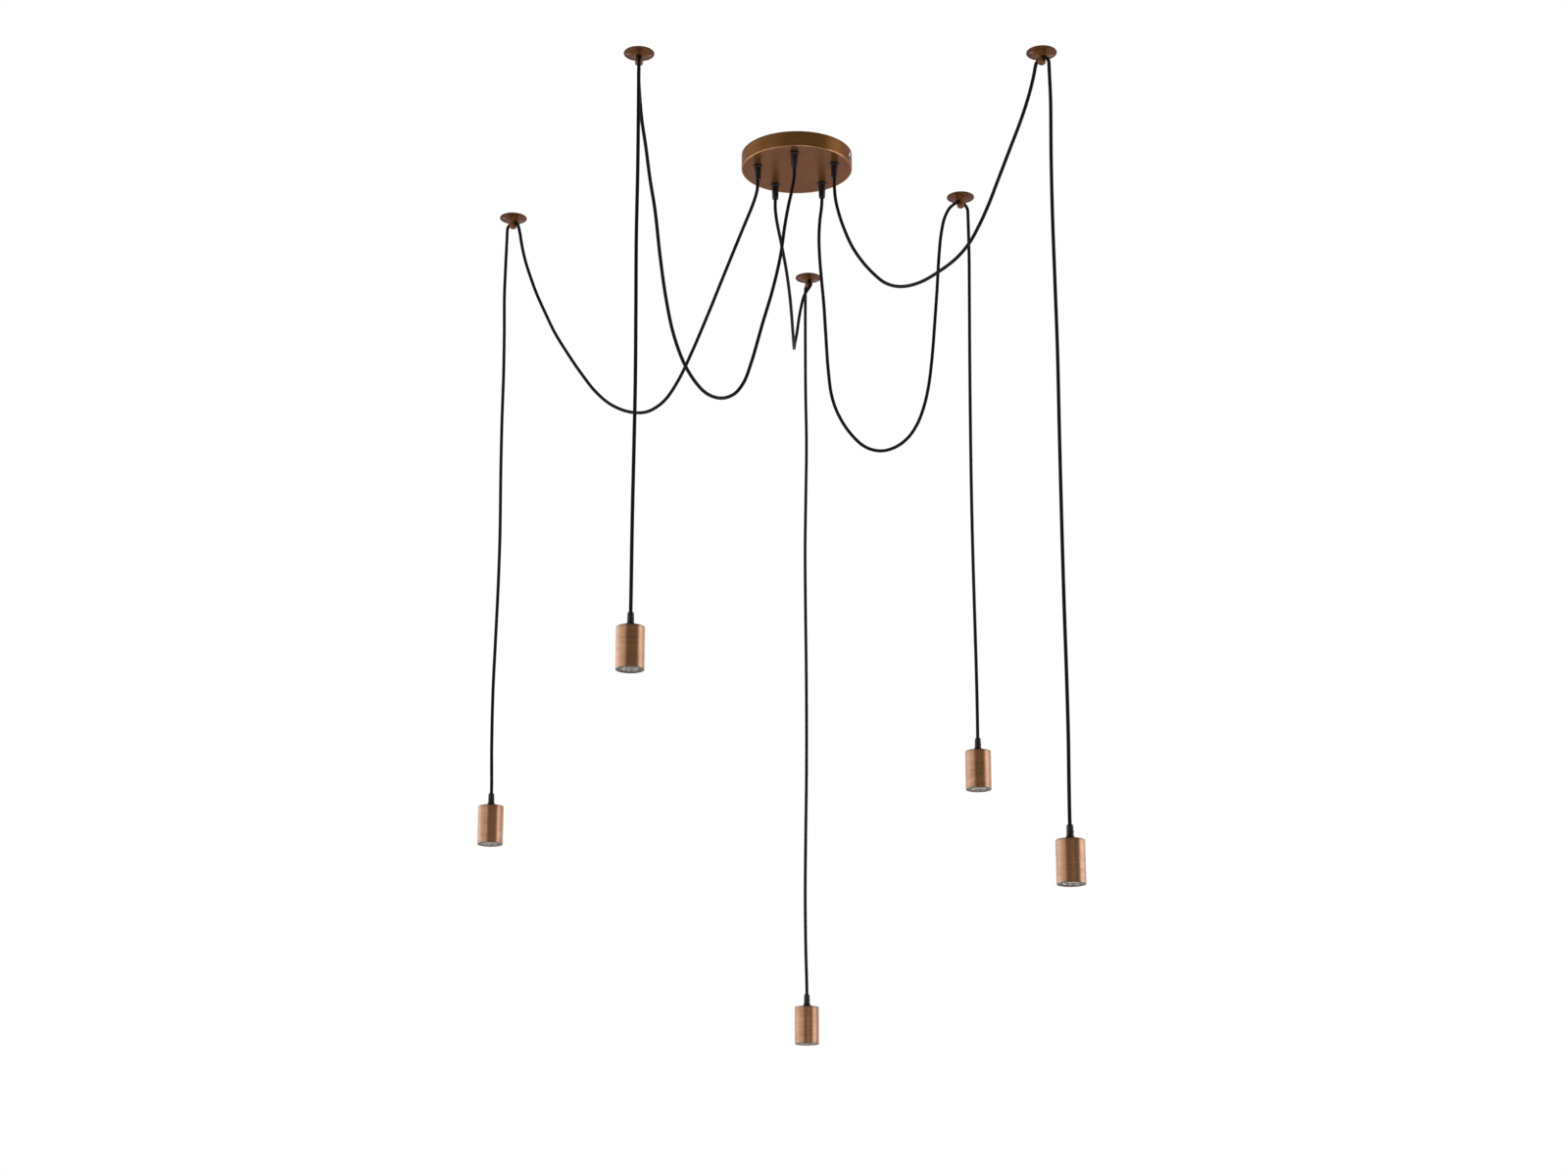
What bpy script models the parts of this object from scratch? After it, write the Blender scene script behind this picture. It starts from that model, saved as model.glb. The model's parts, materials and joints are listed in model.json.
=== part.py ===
"""Five-light swag pendant.

A round canopy on the ceiling feeds five cords. Each cord swags to its own ceiling hook, arches
over the hook's clamp knob and drops to a bare lampholder. Metres, +Z up, and the ceiling is at
zero height with the canopy's centre at the origin. A room below is at negative Z.
"""

import bpy
import bmesh
from math import atan2, cos, degrees, pi, radians, sin
from mathutils import Matrix, Vector

for old in list(bpy.data.objects):
    bpy.data.objects.remove(old, do_unlink=True)

# The whole light: canopy width, farthest hook from its centre, and lowest lampholder's top
canopy_diameter = 0.195
hook_reach = 0.590
longest_drop = 1.434

# Clearances
seat_gap = 0.0003
cutter_overrun = 0.002

# How finely round things are faceted
canopy_sides = 48
hook_sides = 20
knob_sides = 12
grip_sides = 12
cup_sides = 24
insert_sides = 16
hole_sides = 10
lead_sides = 6

# Cord
cord_diameter = 0.0055
cord_ring_resolution = 2
cord_longest_step = 0.110
cord_most_turn = 6.5
cord_fine_step = 0.004

# Canopy cover: a shallow drum, open against the ceiling
canopy_height = 0.028
canopy_sheet = 0.0012
canopy_edge_bevel = 0.0016
canopy_land = 0.0034
canopy_face_step = 0.0004
side_screw_drop = 0.0135

# Ceiling bracket, its turned-down ears and the side screws that enter them
bracket_turn = -21
bracket_width = 0.020
bracket_thickness = 0.0015
bracket_ear_length = 0.020
bracket_bend_radius = 0.003
bracket_bend_steps = 3
slot_pitch = 0.060
slot_length = 0.018
slot_width = 0.0052
side_screw_radius = 0.002
side_screw_length = 0.010
side_screw_head_radius = 0.004
side_screw_head_height = 0.0024
screw_crown_share = 0.5
screw_shoulder_share = 0.85
screw_shoulder_height_share = 0.7
screw_edge_height_share = 0.3

# Terminal block under the bracket
block_length = 0.034
block_width = 0.016
block_height = 0.011
block_bevel = 0.0012
block_well_radius = 0.0019
block_well_depth = 0.004
block_well_pitch = 0.010
block_entry_radius = 0.0016
block_entry_depth = 0.0035

# Cord tails that join the five cords in one splice cap under the block
splice_radius = 0.0058
splice_height = 0.0085
splice_chamfer = 0.0012
tail_peak_drop = 0.0098
tail_exit_drop = 0.0185
tail_peak_share = 0.75

# Cord grips in the canopy's face
grip_ring_share = 0.728
first_grip_angle = -22
grip_length = 0.0285
grip_flange_radius = 0.0070
grip_flange_height = 0.0028
grip_shoulder_radius = 0.0062
grip_shoulder_height = 0.0016
grip_waist_radius = 0.0056
grip_tip_radius = 0.0050
grip_tip_height = 0.0014
grip_stub_radius = 0.0050
grip_snap_radius = 0.0058
grip_snap_height = 0.0018
grip_stub_rise = 0.0050
grip_hold_depth = 0.012

# Ceiling hook: cast plate, trumpet neck with a cross bore, and the clamp knob below it
hook_diameter = 0.050
hook_bead_height = 0.0023
hook_bead_width = 0.0024
hook_bead_crown_share = 0.4
hook_bead_side_share = 0.7
hook_edge_height = 0.0014
hook_dome_height = 0.0030
hook_dome_radius = 0.0145
neck_root_height = 0.0056
neck_root_radius = 0.0092
neck_throat_height = 0.0084
neck_throat_radius = 0.0071
neck_radius = 0.0063
neck_length = 0.0156
bore_drop = 0.0105
bore_radius = 0.0035
bore_straight_half = 0.0030
bore_flare_radius = 0.0054
arch_lead = 0.0008
arch_step = 18
drop_arch = 72
hook_screw_circle = 0.0172
hook_screw_radius = 0.0021
hook_sink_radius = 0.0040
hook_sink_depth = 0.0019
knob_radius = 0.0068
knob_height = 0.0052
knob_top_radius = 0.0058
knob_nose_radius = 0.0044
knob_shoulder_height = 0.0010
knob_belly_height = 0.0022
knob_cheek_share = 0.88
knob_cheek_height_share = 0.75
knob_shank_radius = 0.0020
knob_slot_width = 0.0013
knob_slot_depth = 0.0013

# Lampholder: grip, cup, insert, screw shell and contact
cup_diameter = 0.045
cup_height = 0.068
cup_wall = 0.0012
cup_top_thickness = 0.0015
cup_top_radius = 0.0014
cup_rim_bevel = 0.0007
lamp_grip_height = 0.0235
lamp_grip_radius = 0.0056
lamp_grip_neck_radius = 0.0052
lamp_grip_crown_radius = 0.0043
lamp_grip_crown_height = 0.0022
lamp_grip_collar_radius = 0.0076
lamp_grip_collar_height = 0.0026
lamp_grip_cone_height = 0.0042
lamp_stub_length = 0.0080
insert_rim_inset = 0.0008
insert_rim_height = 0.0032
insert_taper_height = 0.0025
insert_barrel_radius = 0.0168
insert_neck_radius = 0.0092
insert_neck_length = 0.0105
insert_shoulder_height = 0.0060
insert_stub_room = 0.0020
insert_wire_radius = 0.0030
shell_radius = 0.0142
shell_wall = 0.0006
shell_height = 0.0245
shell_fold_width = 0.0048
shell_lip_recess = 0.0004
contact_width = 0.0060
contact_thickness = 0.0006
contact_foot_length = 0.0050
contact_reach = 0.0100
contact_spring_drop = 0.0034

# Where each hook is on the ceiling: degrees round the canopy from the room's X axis, and its
# share of the farthest hook's distance
hook_turn_1 = 152.87
hook_turn_2 = -124.59
hook_turn_3 = -44.41
hook_turn_4 = 29.52
hook_turn_5 = 86.96
reach_share_1 = 1.0
reach_share_2 = 0.782
reach_share_3 = 0.937
reach_share_4 = 0.588
reach_share_5 = 0.928

# Each lampholder's share of the longest drop
drop_share_1 = 0.780
drop_share_2 = 0.681
drop_share_3 = 0.913
drop_share_4 = 0.725
drop_share_5 = 1.0

# Degrees by which a hook's cross bore is turned from the line to the canopy
bore_twist_1 = 0
bore_twist_2 = 37.5
bore_twist_3 = 0
bore_twist_4 = 0
bore_twist_5 = 28

# Radius that each cord bends to over its knob, and degrees of that arch on the swag's side
bend_radius_1 = 0.013
bend_radius_2 = 0.013
bend_radius_3 = 0.015
bend_radius_4 = 0.016
bend_radius_5 = 0.013
swag_arch_1 = 54
swag_arch_2 = 72
swag_arch_3 = 54
swag_arch_4 = 36
swag_arch_5 = 72

# The line of each hook plate's two ceiling screws, in degrees from the room's X axis
screw_turn_1 = 24
screw_turn_2 = 8
screw_turn_3 = 18
screw_turn_4 = 105
screw_turn_5 = 23

# The swags' routes, from the canopy grip's mouth to the start of the arch over the knob
swag_route_1 = (
    (-0.069, -0.017, -0.056), (-0.070, -0.016, -0.074), (-0.077, -0.012, -0.098),
    (-0.092, -0.003, -0.134), (-0.108, 0.007, -0.172), (-0.130, 0.020, -0.225),
    (-0.155, 0.036, -0.285), (-0.184, 0.054, -0.351), (-0.209, 0.070, -0.400),
    (-0.233, 0.086, -0.430), (-0.261, 0.103, -0.443), (-0.291, 0.122, -0.438),
    (-0.327, 0.144, -0.417), (-0.358, 0.165, -0.384), (-0.388, 0.184, -0.339),
    (-0.414, 0.200, -0.295), (-0.438, 0.215, -0.251), (-0.457, 0.228, -0.208),
    (-0.475, 0.239, -0.165), (-0.487, 0.246, -0.131), (-0.498, 0.253, -0.096),
    (-0.506, 0.258, -0.062), (-0.511, 0.262, -0.034), (-0.515, 0.264, -0.017),
)
swag_route_2 = (
    (-0.005, -0.071, -0.056), (-0.0055, -0.072, -0.074), (-0.0090, -0.077, -0.098),
    (-0.0155, -0.086, -0.132), (-0.0225, -0.095, -0.176), (-0.030, -0.102, -0.234),
    (-0.043, -0.116, -0.300), (-0.061, -0.136, -0.373), (-0.079, -0.156, -0.448),
    (-0.092, -0.172, -0.491), (-0.108, -0.189, -0.518), (-0.130, -0.213, -0.534),
    (-0.153, -0.239, -0.535), (-0.172, -0.262, -0.522), (-0.189, -0.280, -0.498),
    (-0.206, -0.299, -0.455), (-0.219, -0.314, -0.395), (-0.229, -0.326, -0.325),
    (-0.237, -0.335, -0.256), (-0.246, -0.345, -0.202), (-0.253, -0.353, -0.151),
    (-0.260, -0.361, -0.106), (-0.264, -0.366, -0.065), (-0.266, -0.369, -0.035),
    (-0.266, -0.369, -0.017),
)
swag_route_3 = (
    (0.066, -0.027, -0.056), (0.066, -0.027, -0.074), (0.068, -0.029, -0.098),
    (0.074, -0.034, -0.128), (0.083, -0.043, -0.161), (0.095, -0.057, -0.197),
    (0.110, -0.074, -0.230), (0.128, -0.093, -0.261), (0.150, -0.117, -0.291),
    (0.175, -0.145, -0.309), (0.205, -0.178, -0.315), (0.236, -0.212, -0.309),
    (0.262, -0.240, -0.298), (0.282, -0.263, -0.281), (0.298, -0.281, -0.256),
    (0.312, -0.297, -0.228), (0.326, -0.312, -0.194), (0.344, -0.332, -0.150),
    (0.362, -0.352, -0.106), (0.375, -0.366, -0.068), (0.383, -0.375, -0.037),
    (0.387, -0.379, -0.017),
)
swag_route_4 = (
    (0.046, 0.054, -0.056), (0.045, 0.054, -0.074), (0.042, 0.053, -0.098),
    (0.040, 0.053, -0.132), (0.041, 0.054, -0.170), (0.044, 0.055, -0.212),
    (0.048, 0.057, -0.260), (0.051, 0.059, -0.314), (0.055, 0.061, -0.380),
    (0.061, 0.064, -0.428), (0.073, 0.069, -0.462), (0.094, 0.078, -0.493),
    (0.119, 0.089, -0.513), (0.146, 0.100, -0.517), (0.173, 0.112, -0.506),
    (0.196, 0.122, -0.485), (0.213, 0.130, -0.457), (0.226, 0.136, -0.421),
    (0.235, 0.140, -0.380), (0.242, 0.143, -0.325), (0.248, 0.146, -0.255),
    (0.253, 0.148, -0.190), (0.257, 0.150, -0.130), (0.262, 0.152, -0.082),
    (0.269, 0.155, -0.049), (0.279, 0.159, -0.028), (0.291, 0.165, -0.0155),
)
swag_route_5 = (
    (-0.038, 0.06, -0.056), (-0.038, 0.061, -0.074), (-0.035, 0.068, -0.096),
    (-0.027, 0.093, -0.127), (-0.018, 0.136, -0.158), (-0.011, 0.19, -0.186),
    (-0.007, 0.24, -0.206), (-0.004, 0.29, -0.222), (-0.002, 0.335, -0.226),
    (-0.001, 0.375, -0.216), (0.001, 0.412, -0.191), (0.005, 0.445, -0.158),
    (0.009, 0.475, -0.119), (0.014, 0.502, -0.081), (0.021, 0.522, -0.047),
    (0.034, 0.5355, -0.0195),
)

# The drops' routes, as (to the right of the plumb line, below the ceiling)
drop_route_1 = (
    (0.0, -0.042), (-0.0010, -0.090), (-0.0018, -0.150), (-0.0002, -0.225), (0.0006, -0.300),
    (0.0, -0.400), (0.0006, -0.500), (0.0021, -0.610), (0.0015, -0.700), (-0.0006, -0.800),
    (-0.0027, -0.900), (-0.0022, -1.000), (-0.0004, -1.070),
)
drop_route_2 = (
    (0.0, -0.042), (0.0004, -0.120), (0.0006, -0.220), (0.0, -0.330), (0.0010, -0.450),
    (0.0018, -0.570), (0.0012, -0.680), (0.0003, -0.790), (0.0001, -0.890), (0.0, -0.935),
)
drop_route_3 = (
    (0.0, -0.042), (0.0008, -0.090), (-0.0008, -0.190), (-0.0012, -0.290), (-0.0002, -0.400),
    (0.0009, -0.520), (0.0004, -0.660), (0.0002, -0.800), (0.0004, -0.930), (0.0013, -1.060),
    (0.0013, -1.150), (0.0004, -1.220), (0.0, -1.270),
)
drop_route_4 = (
    (0.0, -0.042), (0.0005, -0.110), (-0.0004, -0.200), (-0.0017, -0.310), (-0.0026, -0.420),
    (-0.0031, -0.540), (-0.0028, -0.650), (-0.0018, -0.760), (-0.0006, -0.860),
    (0.0, -0.940), (0.0, -0.998),
)
drop_route_5 = (
    (0.0, -0.042), (-0.0003, -0.110), (0.0, -0.230), (0.0014, -0.340), (0.0, -0.440),
    (-0.0017, -0.550), (-0.0014, -0.650), (-0.0002, -0.780), (0.0002, -0.900),
    (-0.0003, -1.000), (-0.0019, -1.110), (-0.0031, -1.220), (-0.0022, -1.320),
    (-0.0005, -1.390),
)

# Where each pendant hangs, and which cord grip on the ring feeds it, counted from the first
placings = {
    1: (hook_turn_1, reach_share_1, drop_share_1, 3, bore_twist_1, screw_turn_1),
    2: (hook_turn_2, reach_share_2, drop_share_2, 4, bore_twist_2, screw_turn_2),
    3: (hook_turn_3, reach_share_3, drop_share_3, 0, bore_twist_3, screw_turn_3),
    4: (hook_turn_4, reach_share_4, drop_share_4, 1, bore_twist_4, screw_turn_4),
    5: (hook_turn_5, reach_share_5, drop_share_5, 2, bore_twist_5, screw_turn_5),
}

# How each cord lies: the radius it bends to over the knob, the turn at which its swag leaves
# that arch, and its two routes
cords = {
    1: (bend_radius_1, swag_arch_1, swag_route_1, drop_route_1),
    2: (bend_radius_2, swag_arch_2, swag_route_2, drop_route_2),
    3: (bend_radius_3, swag_arch_3, swag_route_3, drop_route_3),
    4: (bend_radius_4, swag_arch_4, swag_route_4, drop_route_4),
    5: (bend_radius_5, swag_arch_5, swag_route_5, drop_route_5),
}

# Sizes that follow from the ones above
cord_radius = cord_diameter / 2
cord_way_radius = cord_radius + seat_gap
canopy_radius = canopy_diameter / 2
grip_ring_radius = canopy_radius * grip_ring_share
canopy_face_drop = canopy_height - canopy_face_step
canopy_floor_drop = canopy_face_drop - canopy_sheet
grip_seat_drop = canopy_face_drop + seat_gap
grip_mouth_drop = grip_seat_drop + grip_length
grip_stub_top_drop = canopy_floor_drop - grip_stub_rise
grip_hold_drop = grip_mouth_drop - grip_hold_depth
hook_radius = hook_diameter / 2
cup_radius = cup_diameter / 2
cup_inner_radius = cup_radius - cup_wall
insert_top_drop = cup_top_thickness + seat_gap
insert_rim_drop = cup_height - insert_rim_inset
insert_cavity_radius = shell_radius + seat_gap
shell_lip_drop = insert_rim_drop - shell_lip_recess
shell_top_drop = shell_lip_drop - shell_height
insert_floor_drop = shell_top_drop - seat_gap
block_top_drop = bracket_thickness + seat_gap
splice_top_drop = block_top_drop + block_height + seat_gap


def finish(name, colour, roughness, metallic):
    """A plain material that gives the surface its colour and its kind."""
    material = bpy.data.materials.new(name)
    material.use_nodes = True
    shader = material.node_tree.nodes["Principled BSDF"]
    shader.inputs["Base Color"].default_value = (*colour, 1)
    shader.inputs["Roughness"].default_value = roughness
    shader.inputs["Metallic"].default_value = metallic
    material.diffuse_color = (*colour, 1)
    return material


copper = finish("antique_copper", (0.16, 0.075, 0.035), 0.42, 1.0)
brushed_copper = finish("brushed_copper", (0.42, 0.22, 0.12), 0.33, 1.0)
black_plastic = finish("black_plastic", (0.012, 0.012, 0.013), 0.5, 0.0)
black_cord = finish("black_cord", (0.01, 0.01, 0.01), 0.75, 0.0)
bakelite = finish("black_bakelite", (0.02, 0.018, 0.017), 0.4, 0.0)
nickel = finish("nickel", (0.72, 0.7, 0.66), 0.3, 1.0)
brass = finish("brass", (0.7, 0.5, 0.2), 0.35, 1.0)
zinc = finish("zinc_plate", (0.55, 0.56, 0.58), 0.4, 1.0)
ivory_plastic = finish("ivory_plastic", (0.75, 0.72, 0.64), 0.5, 0.0)


def place(name, location=(0, 0, 0), turn=0, parent=None):
    """An empty that carries pieces: turned about Z by a number of degrees."""
    empty = bpy.data.objects.new(name, None)
    bpy.context.collection.objects.link(empty)
    empty.location = location
    empty.rotation_euler = (0, 0, radians(turn))
    empty.parent = parent
    return empty


def solid(name, shape, material=None, parent=None, location=(0, 0, 0), rotation=(0, 0, 0)):
    """Turns a bmesh into a named object with outward faces.

    A piece is shaded smooth, and a cutter, which has no material, stays flat, so that the edges
    it leaves on the piece are sharp.
    """
    bmesh.ops.recalc_face_normals(shape, faces=shape.faces)
    mesh = bpy.data.meshes.new(name)
    shape.to_mesh(mesh)
    shape.free()
    body = bpy.data.objects.new(name, mesh)
    bpy.context.collection.objects.link(body)
    body.parent = parent
    body.location = location
    body.rotation_euler = rotation
    if material:
        mesh.materials.append(material)
        mesh.shade_smooth()
        mesh.set_sharp_from_angle(angle=radians(35))
    return body


def turned_shape(outline, sides):
    """Spins (radius, height) points about Z. An outline that starts on the axis ends on it."""
    shape = bmesh.new()
    ring = [shape.verts.new((radius, 0, height)) for radius, height in outline]
    edges = [shape.edges.new(pair) for pair in zip(ring, ring[1:])]
    if outline[0][0] > 0:
        edges.append(shape.edges.new((ring[-1], ring[0])))
    bmesh.ops.spin(shape, geom=ring + edges, cent=(0, 0, 0), axis=(0, 0, 1),
                   angle=2 * pi, steps=sides, use_merge=True)
    bmesh.ops.remove_doubles(shape, verts=shape.verts, dist=seat_gap / 100)
    return shape


def prism_shape(outline, depth):
    """Extrudes an outline in the XZ plane along Y, centred on it."""
    shape = bmesh.new()
    front = [shape.verts.new((x, -depth / 2, z)) for x, z in outline]
    face = shape.faces.new(front)
    grown = bmesh.ops.extrude_face_region(shape, geom=[face])
    moved = [part for part in grown["geom"] if isinstance(part, bmesh.types.BMVert)]
    bmesh.ops.translate(shape, verts=moved, vec=(0, depth, 0))
    return shape


def box_shape(length, width, height, bevel=0):
    """A box centred on the origin, its edges bevelled where a bevel is given."""
    shape = bmesh.new()
    bmesh.ops.create_cube(shape, size=1)
    bmesh.ops.scale(shape, verts=shape.verts, vec=(length, width, height))
    if bevel:
        bmesh.ops.bevel(shape, geom=shape.edges[:], offset=bevel, segments=1,
                        affect="EDGES")
    return shape


def rod_shape(radius, length, sides):
    """A round rod along Z, centred on the origin."""
    shape = bmesh.new()
    bmesh.ops.create_cone(shape, cap_ends=True, segments=sides, radius1=radius,
                          radius2=radius, depth=length)
    return shape


def combine(target, other, operation):
    """Cuts another solid from the target, or joins it on, and keeps that solid as a guide."""
    other.display_type = "WIRE"
    other.hide_render = True
    step = target.modifiers.new(other.name, "BOOLEAN")
    step.operation = operation
    step.solver = "EXACT"
    step.object = other


def arc(centre, radius, first, last, steps):
    """Points of an arc in the outline's plane, angles in degrees."""
    angles = [radians(first + (last - first) * i / steps) for i in range(steps + 1)]
    return [(centre[0] + radius * cos(a), centre[1] + radius * sin(a)) for a in angles]


def smooth_line(route, step, before=None, after=None):
    """Points, close together, of a smooth curve through the points of a route.

    The points before and after it, where given, set the directions in which it starts and ends.
    """
    points = [Vector(point) for point in route]
    ends = [before or 2 * points[0] - points[1], *points, after or 2 * points[-1] - points[-2]]
    line = []
    for a, b, c, d in zip(ends, ends[1:], ends[2:], ends[3:]):
        knots = [0]
        for p, q in ((a, b), (b, c), (c, d)):
            knots.append(knots[-1] + (q - p).length ** 0.5)
        count = max(1, round((c - b).length / step))
        for i in range(count):
            t = knots[1] + (knots[2] - knots[1]) * i / count
            ab = a.lerp(b, (t - knots[0]) / (knots[1] - knots[0]))
            bc = b.lerp(c, (t - knots[1]) / (knots[2] - knots[1]))
            cd = c.lerp(d, (t - knots[2]) / (knots[3] - knots[2]))
            abc = ab.lerp(bc, (t - knots[0]) / (knots[2] - knots[0]))
            bcd = bc.lerp(cd, (t - knots[1]) / (knots[3] - knots[1]))
            line.append(abc.lerp(bcd, (t - knots[1]) / (knots[2] - knots[1])))
    return line + [points[-1]]


def thinned(line, most_turn, longest_step):
    """Leaves out points where the line runs nearly straight."""
    kept = [line[0]]
    heading = line[1] - line[0]
    run = 0
    for before, here, after in zip(line, line[1:], line[2:]):
        run += (here - before).length
        turn = heading.angle(after - here)
        if turn > radians(most_turn) or run > longest_step:
            kept.append(here)
            heading = after - here
            run = 0
    return kept + [line[-1]]


def fitted(route, start, end):
    """Moves a route's two ends to where they belong and spreads the difference along it."""
    first = Vector(start) - Vector(route[0])
    last = Vector(end) - Vector(route[-1])
    count = len(route) - 1
    return [Vector(point) + first.lerp(last, i / count) for i, point in enumerate(route)]


def cord(name, route, before, after, parent=None):
    """A plain round cord along a smooth curve through its route, with set points at both ends."""
    line = smooth_line(route, cord_fine_step, before[-1], after[0])
    line = [*before, *thinned(line, cord_most_turn, cord_longest_step), *after]
    curve = bpy.data.curves.new(name, "CURVE")
    curve.dimensions = "3D"
    curve.bevel_depth = cord_radius
    curve.bevel_resolution = cord_ring_resolution
    curve.use_fill_caps = True
    spline = curve.splines.new("POLY")
    spline.points.add(len(line) - 1)
    for point, position in zip(spline.points, line):
        point.co = (*position, 1)
    body = bpy.data.objects.new(name, curve)
    bpy.context.collection.objects.link(body)
    curve.materials.append(black_cord)
    body.parent = parent
    return body


def toward(angle, distance, height=0):
    """A point at a distance from the Z axis, in a direction given in degrees."""
    return Vector((distance * cos(radians(angle)), distance * sin(radians(angle)), height))


def grip_angle(slot):
    return first_grip_angle + slot * 360 / len(placings)


def canopy_cover(parent):
    """The drum, with a bevelled edge and a shallow step where the face is pressed in."""
    step_radius = canopy_radius - canopy_land - canopy_face_step
    inner_radius = canopy_radius - canopy_sheet
    outline = [
        (0, -canopy_face_drop),
        (step_radius, -canopy_face_drop),
        (canopy_radius - canopy_land, -canopy_height),
        (canopy_radius - canopy_edge_bevel, -canopy_height),
        *arc((canopy_radius - canopy_edge_bevel, canopy_edge_bevel - canopy_height),
             canopy_edge_bevel, -45, 0, 1),
        (canopy_radius, 0),
        (inner_radius, 0),
        (inner_radius, -canopy_floor_drop),
        (0, -canopy_floor_drop),
    ]
    cover = solid("canopy_cover", turned_shape(outline, canopy_sides), copper, parent)
    depth = canopy_sheet + 2 * cutter_overrun
    for slot in range(len(placings)):
        hole = solid(f"grip_hole_{slot}",
                     rod_shape(grip_stub_radius + seat_gap, depth, hole_sides), None, cover,
                     toward(grip_angle(slot), grip_ring_radius,
                            -canopy_face_drop + canopy_sheet / 2))
        combine(cover, hole, "DIFFERENCE")
    for side, turn in enumerate((bracket_turn, bracket_turn + 180)):
        hole = solid(f"side_hole_{side}",
                     rod_shape(side_screw_radius + seat_gap, depth, hole_sides), None, cover,
                     toward(turn, canopy_radius - canopy_sheet / 2, -side_screw_drop),
                     (0, pi / 2, radians(turn)))
        combine(cover, hole, "DIFFERENCE")
    return cover


def ear_reach():
    """How far out the bracket's ears stand, so that their corners clear the round wall."""
    room = canopy_radius - canopy_sheet - seat_gap
    return (room ** 2 - (bracket_width / 2) ** 2) ** 0.5 * cos(pi / canopy_sides)


def ceiling_bracket(parent):
    """A strip with both ends bent down, slotted for the ceiling screws."""
    reach = ear_reach()
    inside = bracket_bend_radius
    outside = inside + bracket_thickness
    bend_x = reach - outside
    steps = bracket_bend_steps
    right = [
        *arc((bend_x, -outside), outside, 90, 0, steps),
        (reach, -bracket_ear_length),
        (reach - bracket_thickness, -bracket_ear_length),
        *arc((bend_x, -outside), inside, 0, 90, steps),
    ]
    left = [(-x, z) for x, z in reversed(right)]
    bracket = solid("ceiling_bracket", prism_shape(right + left, bracket_width), zinc, parent)
    for side in (-1, 1):
        straight = slot_length / 2 - slot_width / 2
        ends = [(x, z) for x, z in arc((straight, 0), slot_width / 2, -90, 90, 4)]
        slot = solid(f"slot_{side}",
                     prism_shape(ends + [(-x, -z) for x, z in ends],
                                 bracket_thickness + 2 * cutter_overrun), None, bracket,
                     (side * slot_pitch / 2, 0, -bracket_thickness / 2), (pi / 2, 0, 0))
        combine(bracket, slot, "DIFFERENCE")
        tap = solid(f"ear_hole_{side}",
                    rod_shape(side_screw_radius + seat_gap,
                              bracket_thickness + 2 * cutter_overrun, hole_sides), None, bracket,
                    (side * (reach - bracket_thickness / 2), 0, -side_screw_drop),
                    (0, pi / 2, 0))
        combine(bracket, tap, "DIFFERENCE")
    return bracket


def side_screw(number, turn, parent):
    """A pan-head screw through the canopy's wall into the bracket's ear."""
    head = side_screw_head_height
    radius = side_screw_head_radius
    outline = [
        (0, head),
        (radius * screw_crown_share, head),
        (radius * screw_shoulder_share, head * screw_shoulder_height_share),
        (radius, head * screw_edge_height_share),
        (radius, 0), (side_screw_radius, 0), (side_screw_radius, -side_screw_length),
        (0, -side_screw_length),
    ]
    return solid(f"side_screw_{number}", turned_shape(outline, hole_sides), nickel, parent,
                 toward(turn, canopy_radius + seat_gap, -side_screw_drop),
                 (0, pi / 2, radians(turn)))


def terminal_block(parent):
    """The block that the supply is joined in, with its screw wells and wire entries."""
    centre = -block_top_drop - block_height / 2
    block = solid("terminal_block",
                  box_shape(block_length, block_width, block_height, block_bevel),
                  ivory_plastic, parent, (0, 0, centre))
    for place_number in (-1, 0, 1):
        along = place_number * block_well_pitch
        for side in (-1, 1):
            entry = solid(f"block_entry_{place_number}_{side}",
                          rod_shape(block_entry_radius, 2 * block_entry_depth, hole_sides // 2),
                          None, block, (along, side * block_width / 2, 0), (pi / 2, 0, 0))
            combine(block, entry, "DIFFERENCE")
        if place_number:
            well = solid(f"block_well_{place_number}",
                         rod_shape(block_well_radius, 2 * block_well_depth, hole_sides // 2),
                         None, block, (along, 0, -block_height / 2))
            combine(block, well, "DIFFERENCE")
    return block


def tail_shape(route, radius):
    """A thick wire swept along a smooth line, its ends closed."""
    line = thinned(smooth_line(route, cord_fine_step), 2 * cord_most_turn, cord_longest_step)
    shape = bmesh.new()
    rings = []
    for i, centre in enumerate(line):
        ahead = line[min(i + 1, len(line) - 1)] - line[max(i - 1, 0)]
        across = ahead.cross(Vector((-route[0][1], route[0][0], 0))).normalized()
        aside = ahead.cross(across).normalized()
        rings.append([shape.verts.new(centre + radius * (across * cos(a) + aside * sin(a)))
                      for a in (2 * pi * k / lead_sides for k in range(lead_sides))])
    for near, far in zip(rings, rings[1:]):
        for k in range(lead_sides):
            after = (k + 1) % lead_sides
            shape.faces.new((near[k], near[after], far[after], far[k]))
    shape.faces.new(rings[0])
    shape.faces.new(rings[-1])
    return shape


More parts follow.
